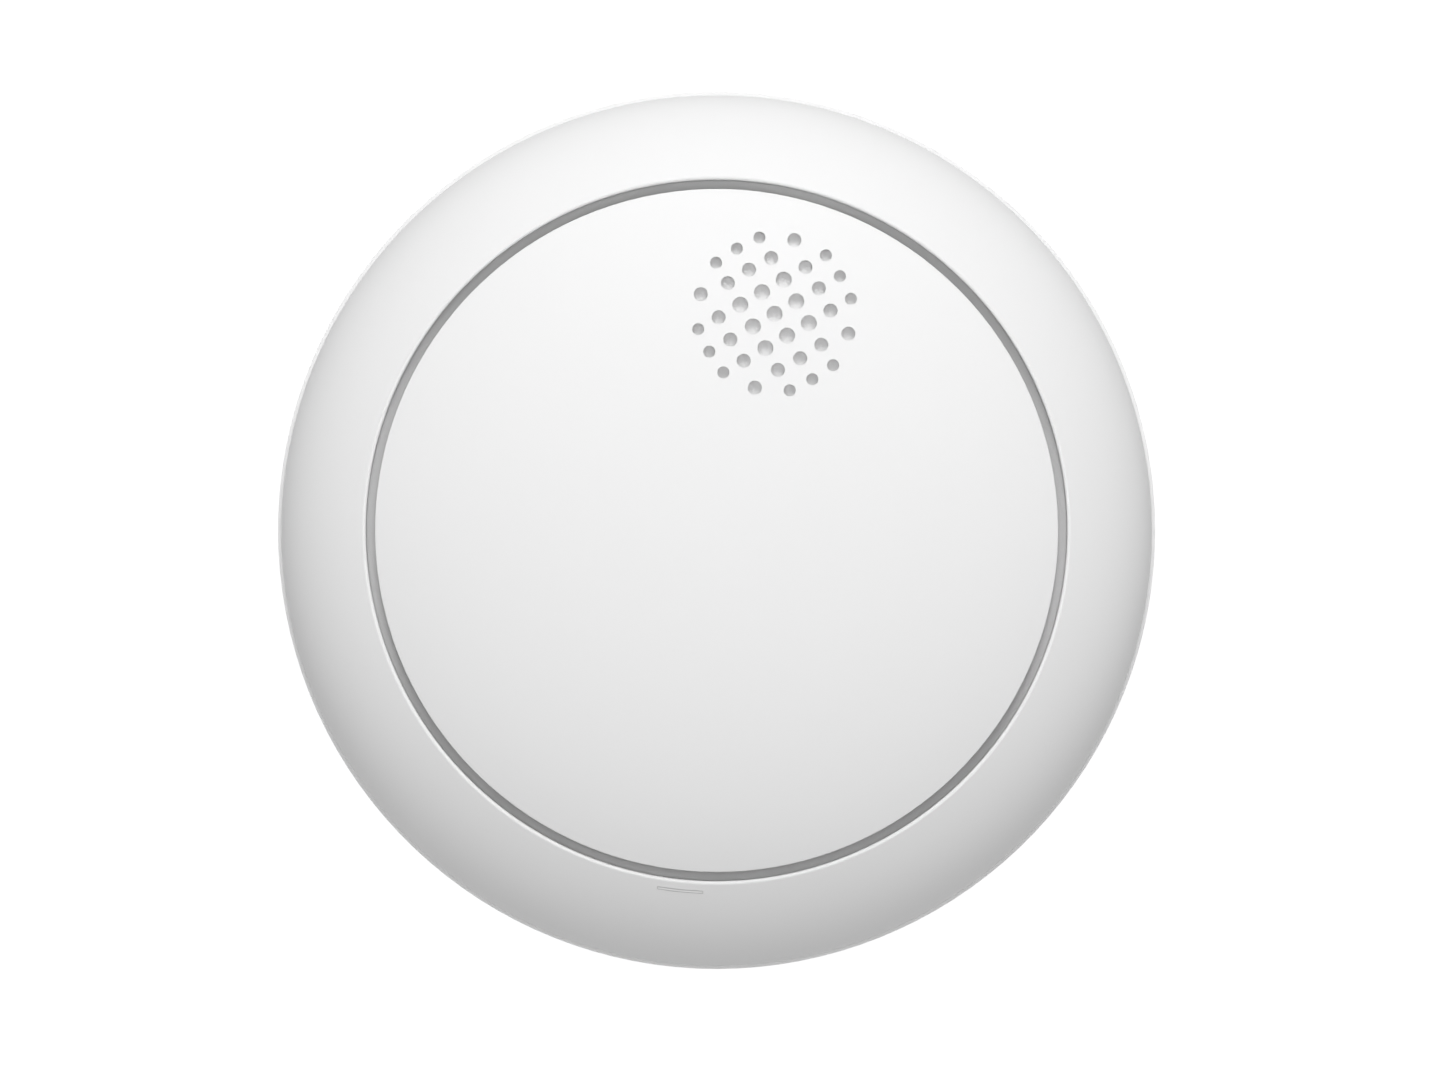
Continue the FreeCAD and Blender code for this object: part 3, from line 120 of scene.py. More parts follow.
class Surface:
    """A node material, with short ways to build its textures in metres."""

    def __init__(self, name, roughness=0.5, metal=0.0, ior=1.5, centre=(0, 0)):
        self.material = bpy.data.materials.new(name)
        self.material.use_nodes = True
        self.nodes = self.material.node_tree.nodes
        self.links = self.material.node_tree.links
        self.shader = self.nodes["Principled BSDF"]
        self.everywhere("Metallic", metal)
        self.everywhere("Roughness", roughness)
        self.everywhere("IOR", ior)
        place = self.nodes.new("ShaderNodeTexCoord").outputs["Object"]
        self.place = self.mapped(place, (1, 1, 1), (-centre[0], -centre[1], 0))

    def everywhere(self, name, value):
        """Sets a number or a colour that is the same all over the surface."""
        self.shader.inputs[name].default_value = value

    def varying(self, name, output):
        """Lets the output of a node set one of the shader's sockets."""
        self.links.new(output, self.shader.inputs[name])

    def mapped(self, vector, stretch, shift=(0, 0, 0)):
        mapping = self.nodes.new("ShaderNodeMapping")
        mapping.inputs["Scale"].default_value = stretch
        mapping.inputs["Location"].default_value = shift
        self.links.new(vector, mapping.inputs["Vector"])
        return mapping.outputs["Vector"]

    def texture(self, kind, place, **settings):
        """A texture node that is read at a place, with some of its sockets set."""
        node = self.nodes.new(kind)
        for name, value in settings.items():
            node.inputs[name].default_value = value
        self.links.new(place, node.inputs["Vector"])
        return node

    def noise(self, grain, detail=2.0, stretch=(1, 1, 1)):
        """Noise whose features are about one grain across."""
        place = self.mapped(self.place, stretch)
        node = self.texture("ShaderNodeTexNoise", place, Scale=1 / grain, Detail=detail)
        return node.outputs["Fac"]

    def cells(self, grain, randomness=1.0):
        """The distance to the nearest of many scattered points, in grains."""
        node = self.texture("ShaderNodeTexVoronoi", self.place,
                            Scale=1 / grain, Randomness=randomness)
        return node.outputs["Distance"]

    def stripes(self, axis, period, distortion=0.0, kind="BANDS"):
        """Smooth bands across one axis, or smooth rings about it."""
        node = self.texture("ShaderNodeTexWave", self.place,
                            Scale=WAVE_PERIOD / period, Distortion=distortion)
        node.wave_type = kind
        node.bands_direction = axis
        node.rings_direction = axis
        return node.outputs["Fac"]

    def axis(self, letter):
        """One coordinate of the place, in metres."""
        parts = self.nodes.new("ShaderNodeSeparateXYZ")
        self.links.new(self.place, parts.inputs["Vector"])
        return parts.outputs[letter]

    def maths(self, operation, first, second=None):
        """Works with one or two values; each is a number or the output of a node."""
        node = self.nodes.new("ShaderNodeMath")
        node.operation = operation
        for socket, value in zip(node.inputs, (first, second)):
            if isinstance(value, bpy.types.NodeSocket):
                self.links.new(value, socket)
            elif value is not None:
                socket.default_value = value
        return node.outputs[0]

    def from_axis(self):
        """The distance from the upright axis through the surface's centre."""
        across = self.maths("POWER", self.maths("ABSOLUTE", self.axis("X")), 2)
        along = self.maths("POWER", self.maths("ABSOLUTE", self.axis("Y")), 2)
        return self.maths("SQRT", self.maths("ADD", across, along))

    def above(self, value, limit):
        return self.maths("GREATER_THAN", value, limit)

    def below(self, value, limit):
        return self.maths("LESS_THAN", value, limit)

    def both(self, first, second):
        return self.maths("MULTIPLY", first, second)

    def either(self, first, second):
        return self.maths("MAXIMUM", first, second)

    def without(self, mask):
        """Turns a mask of noughts and ones round."""
        return self.below(mask, 0.5)

    def spread(self, factor, low, high):
        """Maps the middle of a noise onto the span from low to high."""
        span = self.nodes.new("ShaderNodeMapRange")
        span.inputs["From Min"].default_value = NOISE_LOW
        span.inputs["From Max"].default_value = NOISE_HIGH
        span.inputs["To Min"].default_value = low
        span.inputs["To Max"].default_value = high
        self.links.new(factor, span.inputs["Value"])
        return span.outputs["Result"]

    def blend(self, factor, first, second):
        """Goes from the first colour to the second; each is a colour or an output."""
        mix = self.nodes.new("ShaderNodeMix")
        mix.data_type = "RGBA"
        self.links.new(factor, mix.inputs["Factor"])
        for name, value in (("A", first), ("B", second)):
            socket = [item for item in mix.inputs
                      if item.name == name and item.type == "RGBA"][0]
            if isinstance(value, bpy.types.NodeSocket):
                self.links.new(value, socket)
            else:
                socket.default_value = (*value, 1)
        return [item for item in mix.outputs if item.type == "RGBA"][0]

    def colour(self, output):
        self.varying("Base Color", output)

    def rough(self, factor, low, high):
        self.varying("Roughness", self.spread(factor, low, high))

    def metal_where(self, mask):
        self.varying("Metallic", mask)

    def bump(self, height, depth):
        """Raises the surface by up to depth where height is white."""
        node = self.nodes.new("ShaderNodeBump")
        node.inputs["Distance"].default_value = depth
        self.links.new(height, node.inputs["Height"])
        self.varying("Normal", node.outputs["Normal"])


def darker(colour, share):
    return tuple(channel * (1 - share) for channel in colour)


# ---------------------------------------------------------------- materials


def moulded_plastic(name, colour, roughness, depth=0.004 * MM, shift=0.03, gloss=0.5):
    """Injection-moulded plastic: a fine spark-eroded grain and faint flow marks."""
    grain = 0.35 * MM
    flow_mark = 28 * MM
    variation = 0.05
    surface = Surface(name, ior=1.52)
    surface.everywhere("Specular IOR Level", gloss)
    fine = surface.noise(grain, detail=4)
    flow = surface.noise(flow_mark, detail=3)
    surface.colour(surface.blend(flow, colour, darker(colour, shift)))
    surface.rough(fine, roughness - variation, roughness + variation)
    surface.bump(fine, depth)
    return surface.material


def rolled_metal(name, colour, roughness, grain=0.25 * MM):
    """Sheet or wire with fine rolling streaks and a little cloudiness."""
    cloud = 3 * MM
    cloud_shade = 0.12
    polish = 0.08
    dullness = 0.1
    streak_depth = 0.003 * MM
    surface = Surface(name, metal=1.0)
    streaks = surface.noise(grain, detail=3, stretch=(1, 0.05, 1))
    clouds = surface.noise(cloud, detail=3)
    surface.colour(surface.blend(clouds, colour, darker(colour, cloud_shade)))
    surface.rough(streaks, roughness - polish, roughness + dullness)
    surface.bump(streaks, streak_depth)
    return surface.material


def acoustic_cloth():
    """A fine felted membrane, nearly smooth, with short matted fibres; its white is a little
    grey, partly its own tone and partly painted shade for the floors of the sound holes, and
    darker in the dips between fibres as painted shade.
    """
    fibre = 0.09 * MM
    fibre_depth = 0.003 * MM
    # Both whites are kept a little grey: partly the cloth's own tone, partly painted shade that
    # darkens the floors of the sound holes.
    hollow_white_with_painted_shade = (0.82, 0.82, 0.82)
    fibre_white_with_painted_shade = (0.86, 0.86, 0.86)
    surface = Surface("grille_cloth", roughness=0.85)
    fibres = surface.noise(fibre, detail=4, stretch=(1, 0.3, 1))
    cross_fibres = surface.noise(fibre, detail=4, stretch=(0.3, 1, 1))
    felt = surface.either(fibres, cross_fibres)
    # The dips of the felt get the darker white and the raised fibres the lighter one: painted
    # shade in the hollows.
    surface.colour(surface.blend(felt, hollow_white_with_painted_shade, fibre_white_with_painted_shade))
    surface.bump(felt, fibre_depth)
    return surface.material


def zinc_plate():
    """Bright zinc with the faint yellow and blue of its passivation."""
    cloud = 1.6 * MM
    cloud_depth = 0.004 * MM
    grain = 0.2 * MM
    bluish = (0.70, 0.72, 0.76)
    yellowish = (0.74, 0.70, 0.60)
    surface = Surface("zinc_plate", metal=1.0)
    clouds = surface.noise(cloud, detail=4)
    surface.colour(surface.blend(clouds, bluish, yellowish))
    surface.rough(surface.noise(grain, detail=3), 0.22, 0.38)
    surface.bump(clouds, cloud_depth)
    return surface.material


def board_laminate():
    """Green mask over copper tracks, tinned pads, and bare glass fibre at the edge."""
    mask_green = (0.008, 0.12, 0.045)
    track_green = (0.02, 0.20, 0.075)
    fibre_shade = (0.42, 0.38, 0.20)
    fibre_light = (0.55, 0.50, 0.30)
    track_pitch = 0.8 * MM
    track_depth = 0.035 * MM
    track_crest = 0.88
    region = 8 * MM
    pour_region = 11 * MM
    pour_level = 0.56
    pad_spacing = 2.6 * MM
    pad_radius = 0.13
    skin = 0.03 * MM
    fibre_pitch = 0.2 * MM
    surface = Surface("board_laminate", roughness=0.35)

    # Each region of the board has its tracks along X or along Y.
    ways = surface.noise(region, detail=0)
    along_x = surface.above(surface.stripes("Y", track_pitch), track_crest)
    along_y = surface.above(surface.stripes("X", track_pitch), track_crest)
    lines = surface.either(surface.both(surface.above(ways, NOISE_MIDDLE), along_x),
                           surface.both(surface.below(ways, NOISE_MIDDLE), along_y))
    pour = surface.above(surface.noise(pour_region, detail=1), pour_level)
    tracks = surface.either(lines, pour)
    painted = surface.blend(tracks, mask_green, track_green)
    pads = surface.below(surface.cells(pad_spacing, randomness=0.7), pad_radius)
    faces = surface.blend(pads, painted, TIN)

    height = surface.axis("Z")
    inside = surface.both(surface.above(height, BOARD_BOTTOM + skin),
                          surface.below(height, BOARD_TOP - skin))
    fibres = surface.stripes("Z", fibre_pitch, distortion=1.5)
    edge = surface.blend(fibres, fibre_shade, fibre_light)
    surface.colour(surface.blend(inside, faces, edge))
    surface.metal_where(surface.both(pads, surface.without(inside)))
    surface.bump(tracks, track_depth)
    return surface.material


def chip_package():
    """A black moulded chip with tinned legs."""
    grain_size = 0.12 * MM
    grain_depth = 0.006 * MM
    surface = Surface("chip_package", centre=CHIP_CENTRE)
    grain = surface.noise(grain_size, detail=4)
    body = surface.blend(grain, (0.030, 0.030, 0.033), (0.055, 0.055, 0.058))
    across = surface.maths("ABSOLUTE", surface.axis("X"))
    along = surface.maths("ABSOLUTE", surface.axis("Y"))
    legs = surface.above(surface.either(across, along), CHIP_BODY_HALF)
    surface.colour(surface.blend(legs, body, TIN))
    surface.metal_where(legs)
    surface.rough(grain, 0.42, 0.6)
    surface.bump(grain, grain_depth)
    return surface.material


def capacitor_can():
    """An aluminium can with a dark stripe over its negative side and a black foot."""
    stripe_edge = -1.3 * MM
    streak = 0.3 * MM
    streak_depth = 0.004 * MM
    black = (0.03, 0.03, 0.035)
    surface = Surface("capacitor_can", metal=1.0, centre=(CAPACITOR_ACROSS, 0))
    streaks = surface.noise(streak, detail=3, stretch=(1, 1, 0.04))
    aluminium = surface.blend(streaks, (0.78, 0.78, 0.79), (0.68, 0.68, 0.70))
    stripe = surface.below(surface.axis("X"), stripe_edge)
    foot = surface.below(surface.axis("Z"), CAPACITOR_FOOT_TOP)
    dark = surface.either(stripe, foot)
    surface.colour(surface.blend(dark, aluminium, black))
    surface.metal_where(surface.without(dark))
    surface.rough(streaks, 0.24, 0.4)
    surface.bump(streaks, streak_depth)
    return surface.material


def enamelled_wire():
    """Copper wire in amber enamel."""
    stain = 1.2 * MM
    stain_depth = 0.004 * MM
    grain = 0.2 * MM
    surface = Surface("enamelled_wire", metal=0.85)
    surface.everywhere("Coat Weight", 0.6)
    tint = surface.noise(stain, detail=3)
    surface.colour(surface.blend(tint, (0.62, 0.25, 0.10), (0.45, 0.16, 0.06)))
    surface.rough(surface.noise(grain, detail=2), 0.18, 0.32)
    surface.bump(tint, stain_depth)
    return surface.material


def ferrite():
    """Grey-black sintered ferrite with small pores."""
    pore = 0.22 * MM
    pore_depth = 0.012 * MM
    cloud = 0.4 * MM
    surface = Surface("ferrite")
    pores = surface.cells(pore)
    surface.colour(surface.blend(pores, (0.035, 0.034, 0.036), (0.085, 0.083, 0.085)))
    surface.rough(surface.noise(cloud, detail=3), 0.5, 0.7)
    surface.bump(pores, pore_depth)
    return surface.material


def passive_chips():
    """Small ceramic chips with tinned ends, in columns on both sides of the board."""
    # The shift of each side puts the middle of its columns on multiples of their pitch.
    column_pitch = 4 * MM
    left_shift = 2 * MM
    right_shift = 1 * MM
    body_half = 0.62 * MM
    grain_size = 0.25 * MM
    grain_depth = 0.01 * MM
    surface = Surface("passive_chips")
    right_side = surface.above(surface.axis("X"), 0)
    change = surface.maths("MULTIPLY", right_side, right_shift - left_shift)
    moved = surface.maths("ADD", surface.maths("ADD", surface.axis("X"), left_shift), change)
    from_middle = surface.maths("PINGPONG", moved, column_pitch / 2)
    ends = surface.above(from_middle, body_half)
    grain = surface.noise(grain_size, detail=3)
    ceramic = surface.blend(grain, (0.42, 0.33, 0.24), (0.30, 0.23, 0.17))
    surface.colour(surface.blend(ends, ceramic, TIN))
    surface.metal_where(ends)
    surface.rough(grain, 0.3, 0.45)
    surface.bump(grain, grain_depth)
    return surface.material


def optical_resin(name, colour, clearness):
    """A cast lens with tinned leads behind it."""
    swirl_size = 0.9 * MM
    swirl_shade = 0.2
    swirl_depth = 0.002 * MM
    surface = Surface(name, roughness=0.08, ior=1.55, centre=CHAMBER_CENTRE)
    leads = surface.above(surface.from_axis(), LENS_BACK)
    swirl = surface.noise(swirl_size, detail=2)
    resin = surface.blend(swirl, colour, darker(colour, swirl_shade))
    surface.colour(surface.blend(leads, resin, TIN))
    surface.metal_where(leads)
    see_through = surface.maths("MULTIPLY", surface.without(leads), clearness)
    surface.varying("Transmission Weight", see_through)
    surface.bump(swirl, swirl_depth)
    return surface.material


def sounder_brass():
    """A stamped brass disc with fine turning marks and a touch of tarnish."""
    mark_pitch = 0.18 * MM
    mark_depth = 0.004 * MM
    stain = 4 * MM
    surface = Surface("sounder_brass", metal=1.0, centre=SOUNDER_CENTRE)
    marks = surface.stripes("Z", mark_pitch, distortion=0.4, kind="RINGS")
    tarnish = surface.noise(stain, detail=4)
    surface.colour(surface.blend(tarnish, (0.83, 0.63, 0.28), (0.68, 0.48, 0.20)))
    surface.rough(tarnish, 0.25, 0.42)
    surface.bump(marks, mark_depth)
    return surface.material


def sounder_ceramic():
    """Pale ceramic under a fired silver electrode that stops short of its rim."""
    speckle_size = 0.3 * MM
    speckle_depth = 0.006 * MM
    surface = Surface("sounder_ceramic", centre=SOUNDER_CENTRE)
    speckle = surface.noise(speckle_size, detail=4)
    silver = surface.blend(speckle, (0.80, 0.80, 0.78), (0.66, 0.66, 0.65))
    ceramic = surface.blend(speckle, (0.74, 0.71, 0.60), (0.66, 0.63, 0.53))
    electrode = surface.below(surface.from_axis(), ELECTRODE_RADIUS)
    surface.colour(surface.blend(electrode, ceramic, silver))
    surface.metal_where(electrode)
    surface.rough(speckle, 0.4, 0.6)
    surface.bump(speckle, speckle_depth)
    return surface.material


def soft_rubber():
    """Grey moulded rubber with a dusty bloom."""
    bloom_size = 1.5 * MM
    grain = 0.15 * MM
    grain_depth = 0.01 * MM
    surface = Surface("soft_rubber")
    bloom = surface.noise(bloom_size, detail=4)
    surface.colour(surface.blend(bloom, (0.22, 0.22, 0.22), (0.34, 0.34, 0.33)))
    surface.rough(bloom, 0.7, 0.9)
    surface.bump(surface.noise(grain, detail=3), grain_depth)
    return surface.material


def cell_sleeve():
    """A shrunk blue sleeve with one pale band, over bright steel ends."""
    steel_end = CELL_LENGTH / 2 - 0.7 * MM
    band_start = 6.5 * MM
    band_end = 9 * MM
    wrinkle_size = 1.4 * MM
    wrinkle_depth = 0.03 * MM
    pale_grey = (0.78, 0.78, 0.76)
    steel_grey = (0.70, 0.70, 0.71)
    surface = Surface("cell_sleeve")
    along = surface.axis("Y")
    steel = surface.above(surface.maths("ABSOLUTE", along), steel_end)
    band = surface.both(surface.above(along, band_start), surface.below(along, band_end))
    wrinkle = surface.noise(wrinkle_size, detail=3, stretch=(1, 0.2, 1))
    blue = surface.blend(wrinkle, (0.06, 0.15, 0.32), (0.045, 0.12, 0.27))
    sleeve = surface.blend(band, blue, pale_grey)
    surface.colour(surface.blend(steel, sleeve, steel_grey))
    surface.metal_where(steel)
    surface.rough(wrinkle, 0.26, 0.4)
    surface.bump(wrinkle, wrinkle_depth)
    return surface.material


def welded_nickel():
    """Nickel strip with small round weld marks."""
    streak = 0.2 * MM
    weld_spacing = 1.5 * MM
    weld_radius = 0.22
    weld_depth = -0.03 * MM
    burnt = (0.42, 0.38, 0.34)
    surface = Surface("welded_nickel", metal=1.0)
    streaks = surface.noise(streak, detail=3, stretch=(0.08, 1, 1))
    welds = surface.below(surface.cells(weld_spacing, randomness=0.1), weld_radius)
    nickel = surface.blend(streaks, (0.76, 0.73, 0.68), (0.66, 0.64, 0.60))
    surface.colour(surface.blend(welds, nickel, burnt))
    surface.rough(streaks, 0.25, 0.42)
    surface.bump(welds, weld_depth)
    return surface.material


def open_foam():
    """Dark foam with open pores."""
    pore = 0.35 * MM
    pore_depth = 0.12 * MM
    surface = Surface("open_foam", roughness=0.95)
    pores = surface.cells(pore)
    surface.colour(surface.blend(pores, (0.02, 0.02, 0.022), (0.12, 0.12, 0.125)))
    surface.bump(pores, pore_depth)
    return surface.material


def sensor_bead():
    """A dark epoxy bead on tinned legs."""
    legs_top = DECK_TOP + 0.6 * MM
    swirl_size = 0.5 * MM
    swirl_depth = 0.01 * MM
    surface = Surface("sensor_bead", ior=1.55, centre=SENSOR_CENTRE)
    legs = surface.below(surface.axis("Z"), legs_top)
    swirl = surface.noise(swirl_size, detail=3)
    epoxy = surface.blend(swirl, (0.03, 0.10, 0.05), (0.02, 0.06, 0.03))
    surface.colour(surface.blend(legs, epoxy, TIN))
    surface.metal_where(legs)
    surface.rough(swirl, 0.12, 0.25)
    surface.bump(swirl, swirl_depth)
    return surface.material


def lamp_package():
    """A white lamp package filled with yellow phosphor gel."""
    speckle_size = 0.08 * MM
    speckle_depth = 0.004 * MM
    package_white = (0.84, 0.84, 0.82)
    surface = Surface("lamp_package")
    speckle = surface.noise(speckle_size, detail=3)
    gel = surface.blend(speckle, (0.82, 0.76, 0.30), (0.74, 0.66, 0.22))
    top = surface.above(surface.axis("Z"), LAMP_RIM)
    surface.colour(surface.blend(top, package_white, gel))
    surface.rough(speckle, 0.2, 0.4)
    surface.bump(speckle, speckle_depth)
    return surface.material


def light_guide():
    """Milky plastic that carries the lamp's light and hides in the white face."""
    haze_size = 0.8 * MM
    haze_depth = 0.003 * MM
    surface = Surface("light_guide", ior=1.49)
    surface.everywhere("Transmission Weight", 0.02)
    haze = surface.noise(haze_size, detail=3)
    surface.colour(surface.blend(haze, (0.93, 0.93, 0.93), (0.91, 0.91, 0.91)))
    surface.rough(haze, 0.4, 0.5)
    surface.bump(haze, haze_depth)
    return surface.material


# ---------------------------------------------------------------- meshes


class Shape:
    """Corners and faces, gathered from several closed forms."""

    def __init__(self):
        self.corners = []
        self.faces = []

    def add(self, corners, faces):
        start = len(self.corners)
        self.corners.extend(corners)
        self.faces.extend([tuple(start + index for index in face) for face in faces])


def joined_rings(rings, sides, closed):
    """The faces between neighbouring rings of corners, with end caps if it is open."""
    faces = []
    for ring in range(rings if closed else rings - 1):
        here = ring * sides
        there = (ring + 1) % rings * sides
        for side in range(sides):
            after = (side + 1) % sides
            faces.append((here + side, here + after, there + after, there + side))
    if not closed:
        last = (rings - 1) * sides
        faces.append(tuple(reversed(range(sides))))
        faces.append(tuple(range(last, last + sides)))
    return faces


def around(distance, azimuth):
    """A point at a distance and azimuth from the detector's axis."""
    turn = math.radians(azimuth)
    return distance * math.cos(turn), distance * math.sin(turn)


def on_circle(centre, radius, turn, height):
    """A point on a level circle; the turn is in radians."""
    return Vector((centre[0] + radius * math.cos(turn),
                   centre[1] + radius * math.sin(turn), height))


def helix(centre, radius, bottom, rise, turns, steps):
    """Points up a helix that rises by so much in a turn, with so many steps to a turn."""
    points = []
    for step in range(int(turns * steps) + 1):
        turn = math.tau * step / steps
        points.append(on_circle(centre, radius, turn, bottom + rise * step / steps))
    return points


def tube(points, radius, sides, closed=False):
    """A round tube along the points."""
    nearly_upright = 0.9
    corners = []
    count = len(points)
    for index, point in enumerate(points):
        before = points[index - 1] if closed or index else point
        after = points[(index + 1) % count] if closed or index < count - 1 else point
        along = (after - before).normalized()
        guide = Vector((0, 0, 1)) if abs(along.z) < nearly_upright else Vector((1, 0, 0))
        across = guide.cross(along).normalized()
        lift = along.cross(across)
        for side in range(sides):
            turn = math.tau * side / sides
            corners.append(point + (across * math.cos(turn) + lift * math.sin(turn)) * radius)
    return corners, joined_rings(count, sides, closed)


def lathe(profile, centre, segments):
    """A solid turned about an upright axis; the profile is (radius, height) going up."""
    corners = []
    for radius, height in profile:
        for segment in range(segments):
            turn = math.tau * segment / segments
            corners.append(on_circle(centre, radius, turn, height))
    return corners, joined_rings(len(profile), segments, closed=False)


def make_piece(name, shape, body, material):
    """Turns a shape into a smooth piece that rides on a body."""
    mesh = bpy.data.meshes.new(name)
    mesh.from_pydata([tuple(corner) for corner in shape.corners], [], shape.faces)
    mesh.validate()
    for polygon in mesh.polygons:
        polygon.use_smooth = len(polygon.vertices) == 4
    mesh.materials.append(material)
    piece = bpy.data.objects.new(name, mesh)
    bpy.context.scene.collection.objects.link(piece)
    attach(piece, body)
    return piece


# ---------------------------------------------------------------- pieces


def make_springs(material):
    """Three coil springs whose end turns lie flat, pressed shorter by the cover."""
    shape = Shape()
    end_turns = 0.9
    middle_turns = 4
    turns = middle_turns + 2 * end_turns
    steps = 28
    low = SPRING_BOTTOM + WIRE_RADIUS
    high = SPRING_TOP - WIRE_RADIUS
    touching_rise = 2.1 * WIRE_RADIUS
    end_rise = end_turns * touching_rise

    def height_at(turned):
        if turned < end_turns:
            return low + end_rise * turned / end_turns
        if turned > turns - end_turns:
            return high - end_rise * (turns - turned) / end_turns
        share = (turned - end_turns) / middle_turns
        return low + end_rise + (high - low - 2 * end_rise) * share

    for azimuth in LEG_AZIMUTHS:
        centre = around(LEG_DISTANCE, azimuth)
        points = []
        for step in range(int(turns * steps) + 1):
            turned = step / steps
            points.append(on_circle(centre, SPRING_RADIUS, math.tau * turned, height_at(turned)))
        shape.add(*tube(points, WIRE_RADIUS, sides=12))
    springs = make_piece("spring_coils", shape, "detector", material)
    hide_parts("cover_springs")
    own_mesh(springs)


def make_screw_threads(material):
    """The raised threads on the shanks of the four housing screws."""
    shape = Shape()
    pitch = 1.0 * MM
    ridge_radius = 0.18 * MM
    turns = (THREAD_TOP - THREAD_BOTTOM) / pitch
    for azimuth in SCREW_AZIMUTHS:
        centre = around(SCREW_DISTANCE, azimuth)
        points = helix(centre, SCREW_RADIUS, THREAD_BOTTOM, pitch, turns, steps=24)
        shape.add(*tube(points, ridge_radius, sides=4))
    make_piece("screw_threads", shape, "detector", material)


def make_screen_mesh(material):
    """Woven wires in the windows of the insect screen."""
    shape = Shape()
    wire = 0.05 * MM
    uprights = 180
    hoops = 13

    def crossing(upright, hoop, way):
        """Where two wires cross: one passes outside the other, by turns."""
        offset = way * wire if (upright + hoop) % 2 else -way * wire
        turn = math.tau * upright / uprights
        height = WINDOW_BOTTOM + (WINDOW_TOP - WINDOW_BOTTOM) * hoop / (hoops - 1)
        return on_circle(CHAMBER_CENTRE, SCREEN_RADIUS + offset, turn, height)

    for upright in range(uprights):
        points = [crossing(upright, hoop, 1) for hoop in range(hoops)]
        shape.add(*tube(points, wire, sides=4))
    for hoop in range(hoops):
        points = [crossing(upright, hoop, -1) for upright in range(uprights)]
        shape.add(*tube(points, wire, sides=4, closed=True))
    make_piece("screen_mesh", shape, "detector", material)


def make_transformer(wire_material, core_material):
    """A ferrite drum with its layer of wound wire."""
    core = Shape()
    rim = 4 * MM
    bevel = 0.2 * MM
    edge = rim - bevel
    hub = 2.9 * MM
    top = BOARD_TOP + TRANSFORMER_HEIGHT
    flange_top = BOARD_TOP + 0.9 * MM
    flange_bottom = top - 0.8 * MM
    core.add(*lathe([
        (edge, BOARD_TOP), (rim, BOARD_TOP + bevel),
        (rim, flange_top - bevel), (edge, flange_top),
        (hub, flange_top), (hub, flange_bottom),
        (edge, flange_bottom), (rim, flange_bottom + bevel),
        (rim, top - bevel), (edge, top),
    ], TRANSFORMER_CENTRE, segments=48))
    drum = make_piece("transformer_core", core, "detector", core_material)
    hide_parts("horn_transformer")

    winding = Shape()
    wire = 0.16 * MM
    layer_radius = 3.1 * MM
    points = helix(TRANSFORMER_CENTRE, layer_radius, flange_top + wire, 2 * wire, turns=12,
                   steps=32)
    winding.add(*tube(points, wire, sides=8))
    make_piece("transformer_winding", winding, "detector", wire_material)


def make_sensor(material):
    """The heat sensor: a round dipped bead on two fine legs."""
    shape = Shape()
    # The bead's outline in millimetres: each radius, and its height above the lowest point.
    outline = [(0.25, 0), (0.65, 0.12), (0.95, 0.4), (1.08, 0.85),
               (1.0, 1.3), (0.75, 1.68), (0.4, 1.92), (0.1, 2)]
    profile = [(radius * MM, BEAD_BOTTOM + height * MM) for radius, height in outline]
    shape.add(*lathe(profile, SENSOR_CENTRE, segments=32))
    leg_top = BEAD_BOTTOM + 0.4 * MM
    for side in SIDES:
        across = SENSOR_CENTRE[0] + side * SENSOR_LEG_OFFSET
        foot = Vector((across, SENSOR_CENTRE[1], BOARD_TOP))
        head = Vector((across, SENSOR_CENTRE[1], leg_top))
        shape.add(*tube([foot, head], SENSOR_LEG_RADIUS, sides=12))
    sensor = make_piece("sensor_bead", shape, "detector", material)
    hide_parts("thermistor")


def make_solder(material):
    """Small solder fillets where leads meet the board."""
    shape = Shape()
    leg_fillet = 0.42 * MM
    contact_fillet = 0.9 * MM
    strip_fillet = 1.1 * MM
    spots = []
    for side in SIDES:
        spots.append((SENSOR_CENTRE[0] + side * SENSOR_LEG_OFFSET, SENSOR_CENTRE[1], leg_fillet))
    for azimuth in CONTACT_AZIMUTHS:
        across, along = around(CONTACT_DISTANCE, azimuth)
        spots.append((SOUNDER_CENTRE[0] + across, SOUNDER_CENTRE[1] + along, contact_fillet))
    for side in SIDES:
        for end in SIDES:
            spots.append((CELL_DISTANCE * side, STRIP_SOLDER_ALONG * end, strip_fillet))
    # A fillet's outline: shares of its radius, and heights in millimetres.
    outline = [(1, 0), (0.72, 0.12), (0.5, 0.28), (0.42, 0.5), (0.1, 0.56)]
    for across, along, radius in spots:
        profile = [(radius * share, BOARD_TOP + height * MM) for share, height in outline]
        shape.add(*lathe(profile, (across, along), segments=20))
    make_piece("solder_joints", shape, "detector", material)


# ---------------------------------------------------------------- stage


def make_camera():
    """A camera without perspective, straight above the face, as for a flat product view."""
    data = bpy.data.cameras.new("face_camera")
    data.type = "ORTHO"
    data.ortho_scale = 2 * OUTER_RADIUS / FACE_WIDTH_SHARE
    data.clip_start = NEAREST_SEEN
    data.clip_end = FARTHEST_SEEN
    camera = bpy.data.objects.new("face_camera", data)
    camera.location = (AIM_RIGHT, AIM_UP, CAMERA_HEIGHT)
    bpy.context.scene.collection.objects.link(camera)
    bpy.context.scene.camera = camera


